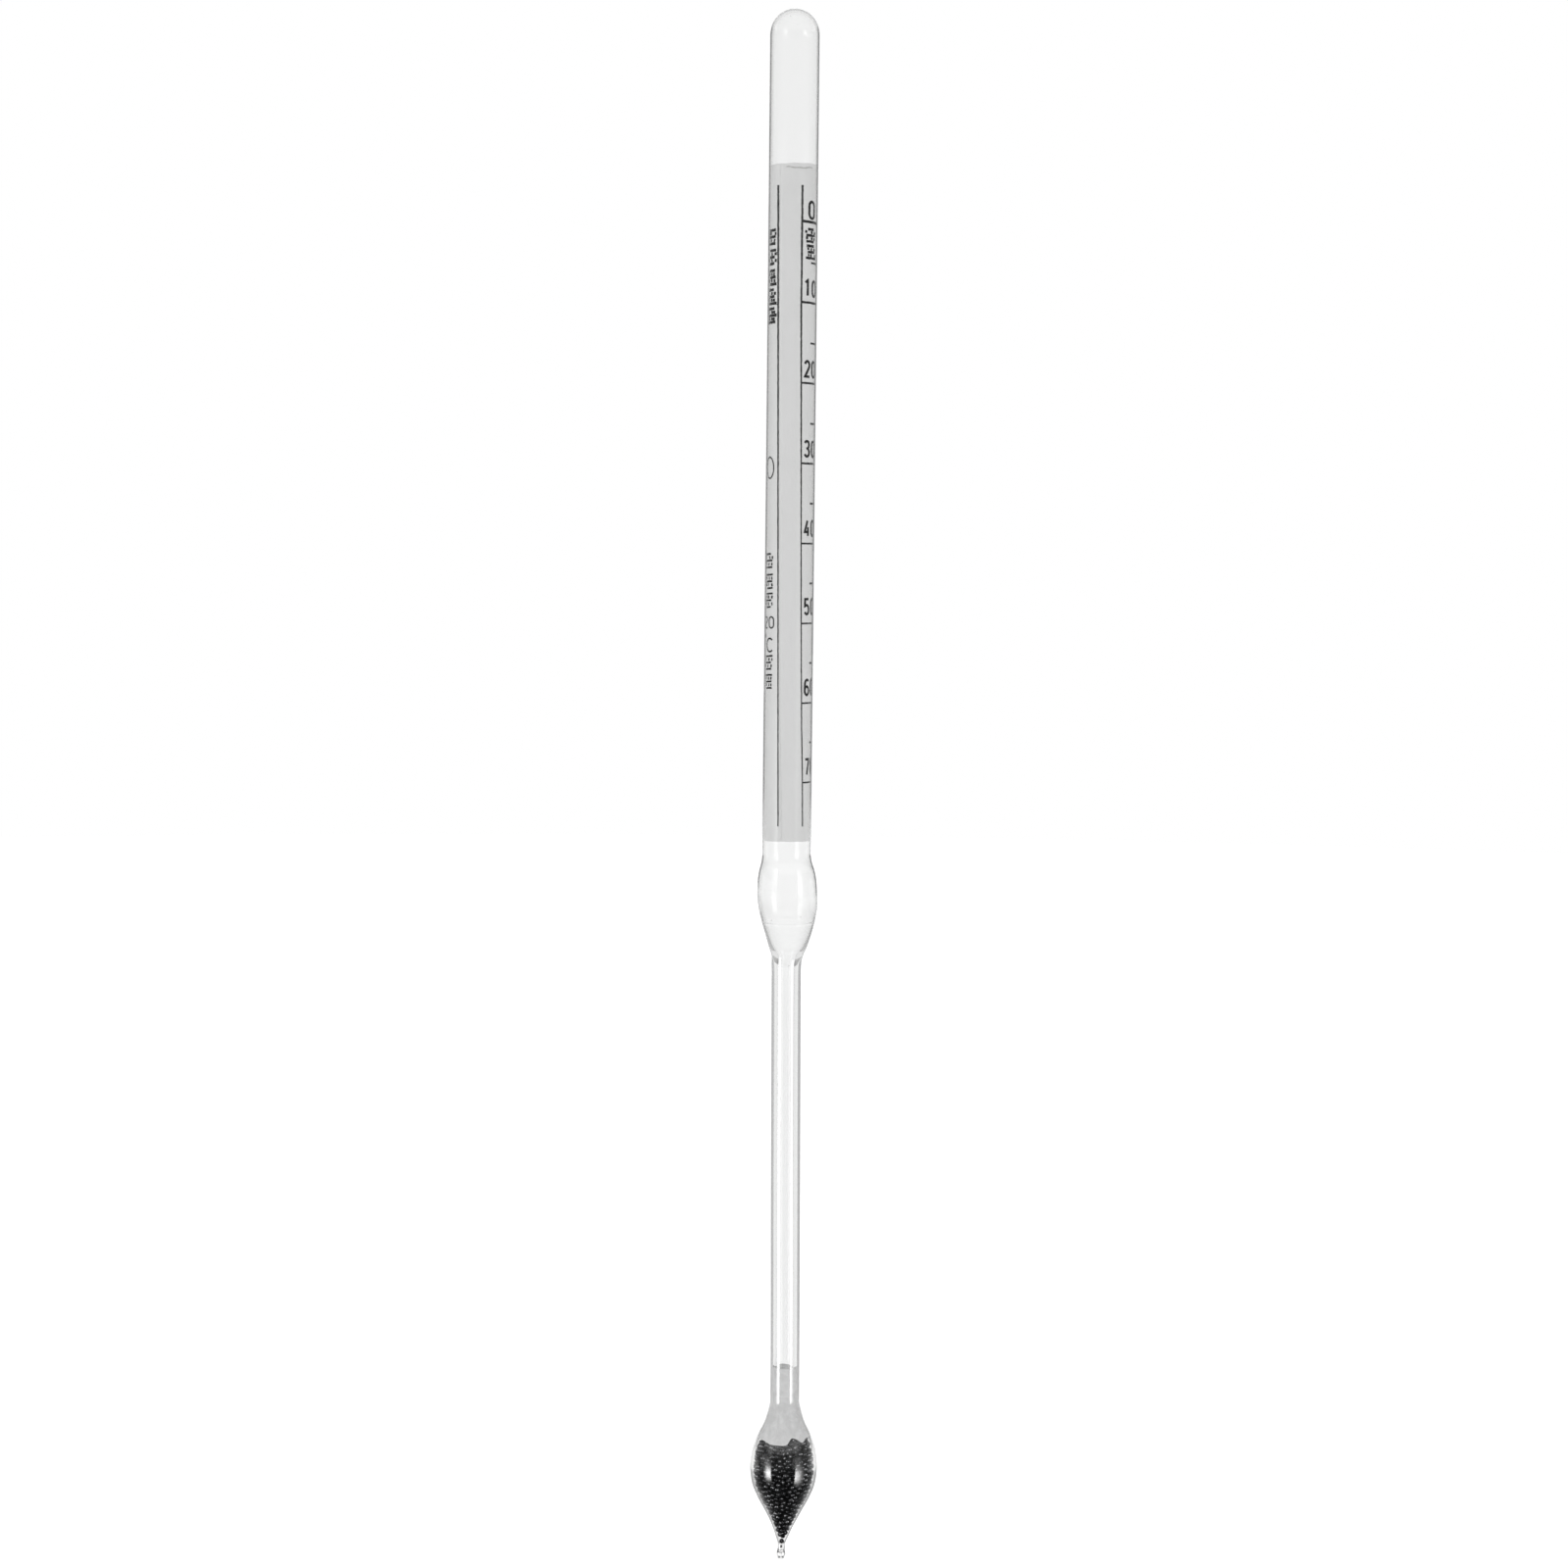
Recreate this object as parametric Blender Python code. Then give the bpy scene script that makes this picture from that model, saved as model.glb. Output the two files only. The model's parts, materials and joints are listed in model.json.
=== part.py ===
"""Glass hydrometer for liquids heavier than water, scale 0 to 70 degrees Baume.

A sealed glass float: a wide stem with a paper scale in it, a blown bulge, a long
thick-walled neck and a pear-shaped bulb full of round steel shot under a resin plug.

Frame: metres, +Z up the stem. The origin is on the axis at the 0 degree graduation,
which is where the surface of pure water stands on a floating hydrometer.
"""

import math

import bmesh
import bpy
import numpy as np
from mathutils import Vector

# ---------------------------------------------------------------- driving dimensions, mm
MM = 0.001

DEGREES_SPAN = 70  # last numbered graduation
DECADE = 14.26  # stem length of ten degrees
TOP_Z = 37.65  # crown of the dome
TOTAL_LENGTH = 280.0

STEM_R = 4.39  # outer radius of the wide tube
STEM_WALL = 0.22
DOME_HEIGHT = 4.6
CROWN_WALL = 0.40

BULGE_TOP_Z = -113.0
BULGE_Z, BULGE_R = -120.5, 5.45
BULGE_WALL = 0.21
WELD_Z, WELD_R = -125.33, 4.77
WELD_GAP = 0.05

NECK_R = 2.65  # outer radius of the thick-walled neck
NECK_LOW_R = 2.62
BORE_R = 1.42
NECK_TOP_Z = -134.6
NECK_END_Z = -212.9

BULB_Z, BULB_R = -225.3, 6.09
BULB_WALL = 0.50
TIP_WALL = 0.24
CAVITY_END_Z = -239.50
WAIST_Z, WAIST_R = -239.85, 0.62
BEAD_Z, BEAD_R = -241.45, 0.77
END_Z = TOP_Z - TOTAL_LENGTH

PAPER_TOP_Z = 10.0
PAPER_END_Z = -110.35
PAPER_R = 4.115  # outer radius of the roll
PAPER_THICK = 0.10
SEAM_ANGLE = -121.0  # where the outer edge of the sheet lies, degrees from +X
SEAM_LAP = 14.0  # overlap of the sheet, degrees
PAPER_TWIST = 18.7  # the roll is slightly skewed: turn of the print over its height

GLUE_THICK = 0.018
GLUE_HEIGHT = 0.5
GLUE_SPAN = (-108.0, -38.0)

RESIN_TOP_Z = -206.6
RESIN_GAP = 0.05
SHOT_TOP_Z = -221.6
SHOT_R = 0.465
SHOT_GAP = 0.035
SINGLE_SHOT = 30  # balls in the drawn tip that are modelled one by one

AROUND = 32  # facets round the wide parts; the sleeves share them, so they nest


# ---------------------------------------------------------------- profile curves
def monotone(stations):
    """A smooth curve through (z, r) stations that never overshoots them."""
    z = np.array([s[0] for s in stations], float)
    r = np.array([s[1] for s in stations], float)
    order = np.argsort(z)
    z, r = z[order], r[order]
    h = np.diff(z)
    slope = np.diff(r) / h
    m = np.zeros_like(r)
    for i in range(1, len(r) - 1):
        if slope[i - 1] * slope[i] > 0:
            a, b = 2 * h[i] + h[i - 1], h[i] + 2 * h[i - 1]
            m[i] = (a + b) / (a / slope[i - 1] + b / slope[i])

    def curve(at):
        i = int(np.clip(np.searchsorted(z, at) - 1, 0, len(h) - 1))
        t = min(max((at - z[i]) / h[i], 0.0), 1.0)
        return (
            (1 + 2 * t) * (1 - t) ** 2 * r[i]
            + t * (1 - t) ** 2 * h[i] * m[i]
            + t * t * (3 - 2 * t) * r[i + 1]
            + t * t * (t - 1) * h[i] * m[i + 1]
        )

    return curve


# outside of the blown bulge, through the weld ring and the cone, to the neck
bulge_outer = monotone(
    [
        (BULGE_TOP_Z, STEM_R),
        (-114.1, 4.50),
        (-116.3, 5.09),
        (-118.4, 5.37),
        (BULGE_Z, BULGE_R),
        (-122.7, 5.31),
        (WELD_Z, WELD_R),
        (-128.0, 4.02),
        (-130.1, 3.34),
        (-131.3, 2.88),
        (-132.3, 2.71),
        (NECK_TOP_Z, NECK_R),
    ]
)
# the wall is thin where the glass was blown and thick in the neck
cone_wall = monotone(
    [
        (BULGE_TOP_Z, STEM_WALL),
        (BULGE_Z, BULGE_WALL),
        (WELD_Z, 0.30),
        (-129.5, 0.58),
        (-133.2, NECK_R - BORE_R),
        (NECK_TOP_Z, NECK_R - BORE_R),
    ]
)
bulb_outer = monotone(
    [
        (NECK_END_Z, NECK_LOW_R),
        (-213.6, 2.73),
        (-215.1, 3.09),
        (-217.0, 3.70),
        (-218.8, 4.58),
        (-220.6, 5.31),
        (-222.4, 5.80),
        (BULB_Z, BULB_R),
        (-227.9, 5.80),
        (-230.6, 4.78),
        (-233.3, 3.32),
        (-236.05, 1.94),
        (-237.9, 1.21),
        (WAIST_Z, WAIST_R),
    ]
)
bulb_wall = monotone(
    [
        (NECK_END_Z, NECK_LOW_R - BORE_R),
        (-216.2, 0.86),
        (-220.0, 0.58),
        (BULB_Z, BULB_WALL),
        (-234.0, 0.40),
        (-238.0, TIP_WALL),
        (CAVITY_END_Z, TIP_WALL),
    ]
)


# hand-joined glass is never quite straight: sideways offset of the centre line,
# towards +X, from the line of the stem
lean = monotone(
    [
        (TOP_Z, 0.0),
        (-112.5, 0.0),
        (-116.3, 0.12),
        (-119.5, 0.19),
        (-122.7, 0.33),
        (-127.5, 0.47),
        (-129.1, 0.44),
        (-131.2, 0.33),
        (-133.3, 0.18),
        (-137.6, 0.20),
        (-175.2, 0.45),
        (-207.7, 0.69),
        (-217.0, 0.72),
        (-226.0, 0.62),
        (-231.0, 0.65),
        (-234.2, 0.65),
        (-237.0, 0.53),
        (END_Z, 0.30),
    ]
)


def bulb_inner(z):
    """Inner radius of the bulb; the cavity closes in a round end at the tip."""
    r = bulb_outer(z) - bulb_wall(z)
    up = z - CAVITY_END_Z
    cap = SHOT_R + 0.06
    if up < cap:
        r = min(r, math.sqrt(max(cap * cap - (cap - up) ** 2, 0.0)))
    return r


# ---------------------------------------------------------------- builders
def material(name, colour, roughness, metallic=0.0, transmission=0.0):
    mat = bpy.data.materials.new(name)
    mat.use_nodes = True
    bsdf = mat.node_tree.nodes["Principled BSDF"]
    bsdf.inputs["Base Color"].default_value = (*colour, 1.0)
    bsdf.inputs["Roughness"].default_value = roughness
    bsdf.inputs["Metallic"].default_value = metallic
    bsdf.inputs["Transmission Weight"].default_value = transmission
    mat.diffuse_color = (*colour, 1.0)
    return mat


def place(name, bm, mat, parent, smooth=40.0):
    bmesh.ops.recalc_face_normals(bm, faces=bm.faces)
    mesh = bpy.data.meshes.new(name)
    bm.to_mesh(mesh)
    bm.free()
    mesh.materials.append(mat)
    mesh.shade_smooth()
    mesh.set_sharp_from_angle(angle=math.radians(smooth))
    obj = bpy.data.objects.new(name, mesh)
    bpy.context.scene.collection.objects.link(obj)
    obj.parent = parent
    return obj


def turned(name, outline, around, mat, parent):
    """A solid of revolution about Z. outline is (r, z) in mm, from one end to the
    other: both ends lie on the axis, or the outline closes on itself as a ring."""
    bm = bmesh.new()
    on_axis = outline[0][0] == 0.0
    verts = [bm.verts.new((r * MM, 0.0, z * MM)) for r, z in outline]
    edges = [bm.edges.new(pair) for pair in zip(verts, verts[1:])]
    if not on_axis:
        edges.append(bm.edges.new((verts[-1], verts[0])))
    bmesh.ops.spin(
        bm,
        geom=verts + edges,
        cent=(0, 0, 0),
        axis=(0, 0, 1),
        angle=math.tau,
        steps=around,
        use_merge=True,
    )
    bmesh.ops.remove_doubles(bm, verts=bm.verts, dist=1e-7)
    for v in bm.verts:
        v.co.x += lean(v.co.z / MM) * MM
    return place(name, bm, mat, parent)


def levels(start, end, count):
    return [start + (end - start) * i / count for i in range(count + 1)]


# ---------------------------------------------------------------- the glass
def make_stem(mat, parent):
    """Dome, straight tube and upper bulge; open below at the weld ring."""
    base = TOP_Z - DOME_HEIGHT
    outer = [(0.0, TOP_Z)]
    for a in levels(0, 90, 8)[1:]:
        t = math.radians(a)
        outer.append((STEM_R * math.sin(t), base + DOME_HEIGHT * math.cos(t)))
    outer.append((STEM_R, BULGE_TOP_Z))
    end = WELD_Z + WELD_GAP / 2
    outer += [(bulge_outer(z), z) for z in levels(BULGE_TOP_Z, end, 9)[1:]]
    inner = [
        (bulge_outer(z) - cone_wall(z), z) for z in levels(end, BULGE_TOP_Z, 7)
    ]
    inner_r = STEM_R - STEM_WALL
    for a in levels(90, 0, 7):
        t = math.radians(a)
        inner.append(
            (inner_r * math.sin(t), base + (DOME_HEIGHT - CROWN_WALL) * math.cos(t))
        )
    inner[-1] = (0.0, base + DOME_HEIGHT - CROWN_WALL)
    return turned("stem_tube", outer + inner, AROUND, mat, parent)


def make_neck(mat, parent):
    """Cone under the weld ring and the narrow thick-walled tube, open at both ends."""
    top, end = WELD_Z - WELD_GAP / 2, NECK_END_Z + WELD_GAP / 2
    outer = [(bulge_outer(z), z) for z in levels(top, NECK_TOP_Z, 8)]
    outer += [(2.66, -170.0), (NECK_LOW_R, end)]
    inner = [(BORE_R, end)]
    inner += [
        (bulge_outer(z) - cone_wall(z), z) for z in levels(NECK_TOP_Z, top, 7)
    ]
    return turned("neck_tube", outer + inner, AROUND, mat, parent)


def make_bulb(mat, parent):
    """The blown bulb, open at its neck, with the drawn tip and its solid bead."""
    top = NECK_END_Z - WELD_GAP / 2
    outer = [(bulb_outer(z), z) for z in levels(top, BULB_Z, 8)]
    outer += [(bulb_outer(z), z) for z in levels(BULB_Z, WAIST_Z, 9)[1:]]
    bead = monotone([(WAIST_Z, WAIST_R), (BEAD_Z, BEAD_R), (END_Z + 0.35, 0.60)])
    outer += [(bead(z), z) for z in levels(WAIST_Z, END_Z + 0.35, 4)[1:]]
    outer += [(0.34, END_Z + 0.06), (0.0, END_Z)]
    inner = [(0.0, CAVITY_END_Z)]
    inner += [(bulb_inner(z), z) for z in (CAVITY_END_Z + 0.08, CAVITY_END_Z + 0.25)]
    inner += [
        (bulb_inner(z), z) for z in levels(CAVITY_END_Z + 0.525, BULB_Z, 8)
    ]
    inner += [(bulb_inner(z), z) for z in levels(BULB_Z, top, 7)[1:]]
    # the outline runs from the end of the bead, up the outside, and back down inside
    return turned("ballast_bulb", outer[::-1] + inner[::-1], AROUND, mat, parent)


# ---------------------------------------------------------------- the scale
def make_paper(mat, parent):
    """The sheet rolled once round with a lap: its outer end lies on its inner end.
    The roll is skewed, so the seam turns as it goes down."""
    rows = 6
    step = 360.0 / AROUND
    turn = 360.0 + SEAM_LAP
    angles = [SEAM_ANGLE + turn * i / (AROUND + 2) for i in range(AROUND + 3)]
    bm = bmesh.new()
    grid = []
    for z in levels(PAPER_TOP_Z, PAPER_END_Z, rows):
        down = (PAPER_TOP_Z - z) / (PAPER_TOP_Z - PAPER_END_Z)
        ring = []
        for side in (0, 1):
            line = []
            for a in angles:
                along = (a - SEAM_ANGLE) / turn
                # the sheet winds inward just before its end, under its own start
                tuck = max(0.0, (along - 1 + (SEAM_LAP + 26) / turn)) / (26 / turn)
                ply = (PAPER_THICK + 0.05) * min(tuck, 1.0)
                r = PAPER_R - ply - side * PAPER_THICK
                t = math.radians(a + PAPER_TWIST * down)
                line.append(
                    bm.verts.new((r * math.cos(t) * MM, r * math.sin(t) * MM, z * MM))
                )
            ring.append(line)
        grid.append(ring)
    n = len(angles)
    for upper, lower in zip(grid, grid[1:]):
        for side in (0, 1):
            for i in range(n - 1):
                bm.faces.new(
                    (upper[side][i], upper[side][i + 1], lower[side][i + 1], lower[side][i])
                )
        for i in (0, n - 1):
            bm.faces.new((upper[0][i], upper[1][i], lower[1][i], lower[0][i]))
    for ring in (grid[0], grid[-1]):
        for i in range(n - 1):
            bm.faces.new((ring[0][i], ring[0][i + 1], ring[1][i + 1], ring[1][i]))
    return place("scale_paper", bm, mat, parent)


def make_glue(mat, parent):
    """A thin curved smear between the top of the paper and the glass."""
    top = PAPER_TOP_Z - 0.35
    r_in = PAPER_R + 0.012
    bm = bmesh.new()
    rows = []
    count = 8
    for i in range(count + 1):
        a = math.radians(GLUE_SPAN[0] + (GLUE_SPAN[1] - GLUE_SPAN[0]) * i / count)
        belly = math.sin(math.pi * (i + 0.6) / (count + 1.2))
        half = GLUE_HEIGHT * (0.35 + 0.65 * belly) / 2
        mid = top - GLUE_HEIGHT / 2 - 0.08 * math.cos(5 * a)
        ring = []
        for r, z in (
            (r_in, mid - half),
            (r_in + GLUE_THICK, mid - half),
            (r_in + GLUE_THICK, mid + half),
            (r_in, mid + half),
        ):
            ring.append(
                bm.verts.new((r * math.cos(a) * MM, r * math.sin(a) * MM, z * MM))
            )
        rows.append(ring)
    for a, b in zip(rows, rows[1:]):
        for k in range(4):
            bm.faces.new((a[k], a[(k + 1) % 4], b[(k + 1) % 4], b[k]))
    bm.faces.new(rows[0])
    bm.faces.new(rows[-1][::-1])
    return place("scale_glue", bm, mat, parent)


# ---------------------------------------------------------------- the ballast
def make_resin(mat, parent):
    """Resin that ran into the bulb's neck and a little way up the bore."""
    outline = [(0.0, RESIN_TOP_Z - 0.25), (0.8, RESIN_TOP_Z - 0.18)]
    outline += [(BORE_R - 2 * RESIN_GAP, RESIN_TOP_Z)]
    outline += [(BORE_R - 2 * RESIN_GAP, NECK_END_Z + 0.3)]
    outline += [
        (bulb_inner(z) - 2 * RESIN_GAP, z)
        for z in levels(NECK_END_Z - 0.4, SHOT_TOP_Z + 1.4, 7)
    ]
    rim = outline[-1][0]
    # the underside follows the top of the shot: a low hump with dips beside it
    outline += [
        (rim * 0.72, SHOT_TOP_Z + 0.50),
        (rim * 0.42, SHOT_TOP_Z + 0.62),
        (0.0, SHOT_TOP_Z + 1.05),
    ]
    return turned("resin_plug", outline, AROUND, mat, parent)


def settle(count):
    """Centres of the first balls poured into the drawn tip. Each ball takes the
    lowest free place: the wall and every settled ball lift the floor under it."""
    reach = SHOT_R + SHOT_GAP
    wall_z = np.linspace(CAVITY_END_Z, -226.0, 900)
    wall_r = np.array([bulb_inner(z) for z in wall_z])
    axis = np.arange(-3.2, 3.2001, 0.05)
    gx, gy = (g.ravel() for g in np.meshgrid(axis, axis))
    rho = np.hypot(gx, gy)
    table = np.linspace(0.0, 4.6, 461)
    floor = np.full(len(table), CAVITY_END_Z + reach)
    for r, z in zip(wall_r, wall_z):
        near = np.abs(table - r) < reach
        lift = z + np.sqrt(np.maximum(reach**2 - (table[near] - r) ** 2, 0.0))
        floor[near] = np.maximum(floor[near], lift)
        floor[table > r] = np.maximum(floor[table > r], z + reach)
    height = np.interp(rho, table, floor)
    height[rho > 3.2] = 1e3
    uneven = np.random.default_rng(7).uniform(0.0, 0.06, len(height))
    apart = 2 * SHOT_R + SHOT_GAP
    found = []
    for _ in range(count):
        k = int(np.argmin(height + uneven))
        centre = (float(gx[k]), float(gy[k]), float(height[k]))
        found.append(centre)
        near = np.hypot(gx - centre[0], gy - centre[1])
        close = near < apart
        lift = centre[2] + np.sqrt(np.maximum(apart**2 - near[close] ** 2, 0.0))
        height[close] = np.maximum(height[close], lift)
    return found


def make_shot(mat, parent):
    """Single balls in the tip. They share one mesh, each on its own object."""
    bm = bmesh.new()
    bmesh.ops.create_icosphere(bm, subdivisions=2, radius=SHOT_R * MM)
    mesh = bpy.data.meshes.new("shot_ball")
    bm.to_mesh(mesh)
    bm.free()
    mesh.materials.append(mat)
    mesh.shade_smooth()
    centres = settle(SINGLE_SHOT)
    for i, centre in enumerate(centres):
        ball = bpy.data.objects.new(f"shot_{i + 1:02d}", mesh)
        ball.location = (Vector(centre) + Vector((lean(centre[2]), 0.0, 0.0))) * MM
        ball.rotation_euler = (0.7 * i, 0.4 * i, 0.9 * i)
        bpy.context.scene.collection.objects.link(ball)
        ball.parent = parent
    return max(c[2] for c in centres)


def make_charge(mat, parent, above):
    """The rest of the shot as one body, from just over the single balls to the resin."""
    base = above + SHOT_R + 0.12
    clear = 2 * RESIN_GAP
    outline = [(0.0, base), ((bulb_inner(base) - clear) * 0.55, base)]
    outline += [
        (bulb_inner(z) - clear, z) for z in levels(base + 0.12, BULB_Z, 7)
    ]
    outline += [
        (bulb_inner(z) - clear, z) for z in levels(BULB_Z, SHOT_TOP_Z + 0.9, 5)[1:]
    ]
    rim = outline[-1][0]
    outline += [
        (rim * 0.72, SHOT_TOP_Z + 0.15),
        (rim * 0.42, SHOT_TOP_Z + 0.27),
        (0.0, SHOT_TOP_Z + 0.70),
    ]
    return turned("shot_charge", outline[::-1], AROUND, mat, parent)


def main():
    for obj in list(bpy.data.objects):
        bpy.data.objects.remove(obj, do_unlink=True)

    root = bpy.data.objects.new("float_line", None)
    root.empty_display_size = 0.005
    bpy.context.scene.collection.objects.link(root)

    stem_glass = material("stem_glass", (0.93, 0.94, 0.94), 0.02, 0.0, 0.9)
    neck_glass = material("neck_glass", (0.90, 0.91, 0.91), 0.02, 0.0, 0.9)
    bulb_glass = material("bulb_glass", (0.90, 0.91, 0.91), 0.02, 0.0, 0.9)
    paper = material("scale_paper", (0.64, 0.64, 0.64), 0.65)
    glue = material("scale_glue", (0.80, 0.79, 0.76), 0.30)
    resin = material("ballast_resin", (0.51, 0.51, 0.51), 0.35)
    steel = material("steel_shot", (0.035, 0.035, 0.037), 0.22, 0.6)

    make_stem(stem_glass, root)
    make_neck(neck_glass, root)
    make_bulb(bulb_glass, root)
    make_paper(paper, root)
    make_glue(glue, root)
    make_resin(resin, root)
    above = make_shot(steel, root)
    make_charge(steel, root, above)


main()
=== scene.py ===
"""Looks of the glass hydrometer: the sealed glass, its rolled and printed scale,
the grey resin plug and the steel shot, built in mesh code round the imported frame."""
import json
import math

import bmesh
import bpy
import numpy as np
from mathutils import Matrix, Vector

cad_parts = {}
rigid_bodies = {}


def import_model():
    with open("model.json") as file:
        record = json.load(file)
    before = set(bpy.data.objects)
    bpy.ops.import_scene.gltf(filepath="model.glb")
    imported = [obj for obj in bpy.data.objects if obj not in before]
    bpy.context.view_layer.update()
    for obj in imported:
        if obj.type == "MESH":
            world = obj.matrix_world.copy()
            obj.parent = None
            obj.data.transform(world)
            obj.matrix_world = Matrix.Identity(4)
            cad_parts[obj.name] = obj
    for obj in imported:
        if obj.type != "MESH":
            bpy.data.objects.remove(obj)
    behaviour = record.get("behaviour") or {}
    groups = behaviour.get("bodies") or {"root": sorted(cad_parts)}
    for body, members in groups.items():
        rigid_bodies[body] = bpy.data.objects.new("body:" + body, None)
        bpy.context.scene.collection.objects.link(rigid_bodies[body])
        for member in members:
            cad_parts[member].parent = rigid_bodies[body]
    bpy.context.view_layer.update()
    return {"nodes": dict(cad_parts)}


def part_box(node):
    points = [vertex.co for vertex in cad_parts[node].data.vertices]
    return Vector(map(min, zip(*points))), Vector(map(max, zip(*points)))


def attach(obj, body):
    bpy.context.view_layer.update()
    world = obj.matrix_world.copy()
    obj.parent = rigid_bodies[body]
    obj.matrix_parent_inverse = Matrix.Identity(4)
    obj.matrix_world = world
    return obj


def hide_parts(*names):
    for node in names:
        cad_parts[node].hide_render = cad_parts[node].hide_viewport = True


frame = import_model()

MM = 0.001
TAU = math.tau
scene = bpy.context.scene

# ---------------------------------------------------------------- heights, radii in mm
STEM_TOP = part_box("stem_tube")[1][2] / MM
END_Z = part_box("ballast_bulb")[0][2] / MM
STEM_R, STEM_WALL = 4.39, 0.22
DOME_HEIGHT, CROWN_WALL = 4.6, 0.40
BULGE_TOP_Z, WELD_Z, NECK_TOP_Z = -113.0, -125.33, -134.6
NECK_R, NECK_LOW_R, BORE_R = 2.65, 2.62, 1.42
NECK_END_Z = -212.9
CAVITY_END_Z = -239.50
WAIST_Z, WAIST_R = -239.85, 0.62
BEAD_Z, BEAD_R = -241.45, 0.77
PAPER_R, PAPER_THICK = 4.115, 0.10
PAPER_TOP_Z, PAPER_END_Z = 10.0, -110.35
TWIST = 18.7 / 120.35  # turn of the print, degrees per mm going down
DECADE = 14.26
RESIN_TOP_Z = -206.6
SHOT_R, SHOT_GAP = 0.465, 0.035


def monotone(stations):
    """A smooth curve through (z, r) stations that never overshoots, for arrays."""
    pts = sorted(stations)
    z = np.array([p[0] for p in pts], float)
    r = np.array([p[1] for p in pts], float)
    h = np.diff(z)
    slope = np.diff(r) / h
    m = np.zeros_like(r)
    for i in range(1, len(r) - 1):
        if slope[i - 1] * slope[i] > 0:
            a, b = 2 * h[i] + h[i - 1], h[i] + 2 * h[i - 1]
            m[i] = (a + b) / (a / slope[i - 1] + b / slope[i])

    def curve(at):
        at = np.asarray(at, float)
        i = np.clip(np.searchsorted(z, at) - 1, 0, len(h) - 1)
        t = np.clip((at - z[i]) / h[i], 0.0, 1.0)
        return (
            (1 + 2 * t) * (1 - t) ** 2 * r[i]
            + t * (1 - t) ** 2 * h[i] * m[i]
            + t * t * (3 - 2 * t) * r[i + 1]
            + t * t * (t - 1) * h[i] * m[i + 1]
        )

    return curve


bulge_outer = monotone([
    (-113.0, 4.39), (-114.1, 4.50), (-116.3, 5.09), (-118.4, 5.37), (-120.5, 5.45),
    (-122.7, 5.31), (-125.33, 4.77), (-128.0, 4.02), (-130.1, 3.34), (-131.3, 2.88),
    (-132.3, 2.71), (-134.6, 2.65)])
cone_wall = monotone([
    (-113.0, 0.22), (-120.5, 0.21), (-125.33, 0.30), (-129.5, 0.58), (-133.2, 1.23),
    (-134.6, 1.23)])
bulb_outer = monotone([
    (-212.9, 2.62), (-213.6, 2.73), (-215.1, 3.09), (-217.0, 3.70), (-218.8, 4.58),
    (-220.6, 5.31), (-222.4, 5.80), (-225.3, 6.09), (-227.9, 5.80), (-230.6, 4.78),
    (-233.3, 3.32), (-236.05, 1.94), (-237.9, 1.21), (-239.85, 0.62)])
bulb_wall = monotone([
    (-212.9, 1.20), (-216.2, 0.86), (-220.0, 0.58), (-225.3, 0.50), (-234.0, 0.40),
    (-238.0, 0.24), (-239.5, 0.24)])
neck_outer = monotone([(-134.6, 2.65), (-170.0, 2.66), (-212.9, 2.62)])
lean = monotone([
    (STEM_TOP, 0.0), (-112.5, 0.0), (-116.3, 0.12), (-119.5, 0.19), (-122.7, 0.33),
    (-127.5, 0.47), (-129.1, 0.44), (-131.2, 0.33), (-133.3, 0.18), (-137.6, 0.20),
    (-175.2, 0.45), (-207.7, 0.69), (-217.0, 0.72), (-226.0, 0.62), (-231.0, 0.65),
    (-234.2, 0.65), (-237.0, 0.53), (END_Z, 0.30)])
bead_outer = monotone([(WAIST_Z, WAIST_R), (BEAD_Z, BEAD_R), (END_Z + 0.35, 0.60)])


def outer_r(z):
    """Outer radius of the glass at height z, without its small unevenness."""
    z = np.asarray(z, float)
    base = STEM_TOP - DOME_HEIGHT
    dome = STEM_R * np.sqrt(np.clip(1 - ((z - base) / DOME_HEIGHT) ** 2, 0, 1))
    u = np.clip((END_Z + 0.35 - z) / 0.35, 0, 1)
    return np.select(
        [z > base, z >= BULGE_TOP_Z, z >= NECK_TOP_Z, z >= NECK_END_Z, z >= WAIST_Z,
         z >= END_Z + 0.35],
        [dome, np.full_like(z, STEM_R), bulge_outer(z), neck_outer(z), bulb_outer(z),
         bead_outer(z)],
        0.60 * np.sqrt(np.clip(1 - u * u, 0, 1)))


def inner_r(z):
    """Inner radius of the glass at height z."""
    z = np.asarray(z, float)
    base = STEM_TOP - DOME_HEIGHT
    h = DOME_HEIGHT - CROWN_WALL
    dome = (STEM_R - STEM_WALL) * np.sqrt(np.clip(1 - ((z - base) / h) ** 2, 0, 1))
    up = z - CAVITY_END_Z
    cap = SHOT_R + 0.06
    round_end = np.sqrt(np.clip(cap * cap - (cap - up) ** 2, 0, None))
    bulb = bulb_outer(z) - bulb_wall(z)
    bulb = np.where(up < cap, np.minimum(bulb, round_end), bulb)
    return np.select(
        [z > base, z >= BULGE_TOP_Z, z >= NECK_TOP_Z, z >= NECK_END_Z],
        [dome, np.full_like(z, STEM_R - STEM_WALL), bulge_outer(z) - cone_wall(z),
         np.full_like(z, BORE_R)],
        bulb)


# ---------------------------------------------------------------- small tools
def smooth_noise(seed, terms=7):
    """A repeatable, smooth unevenness over angle a (radians) and height z (mm)."""
    rng = np.random.default_rng(seed)
    waves = [(int(rng.integers(1, 6)), rng.uniform(0.03, 0.5), rng.uniform(0, TAU),
              rng.uniform(0.4, 1.0)) for _ in range(terms)]

    def value(a, z):
        s = 0.0
        for k, f, p, w in waves:
            s = s + w * np.sin(k * a + f * z + p)
        return s / terms

    return value


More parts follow.
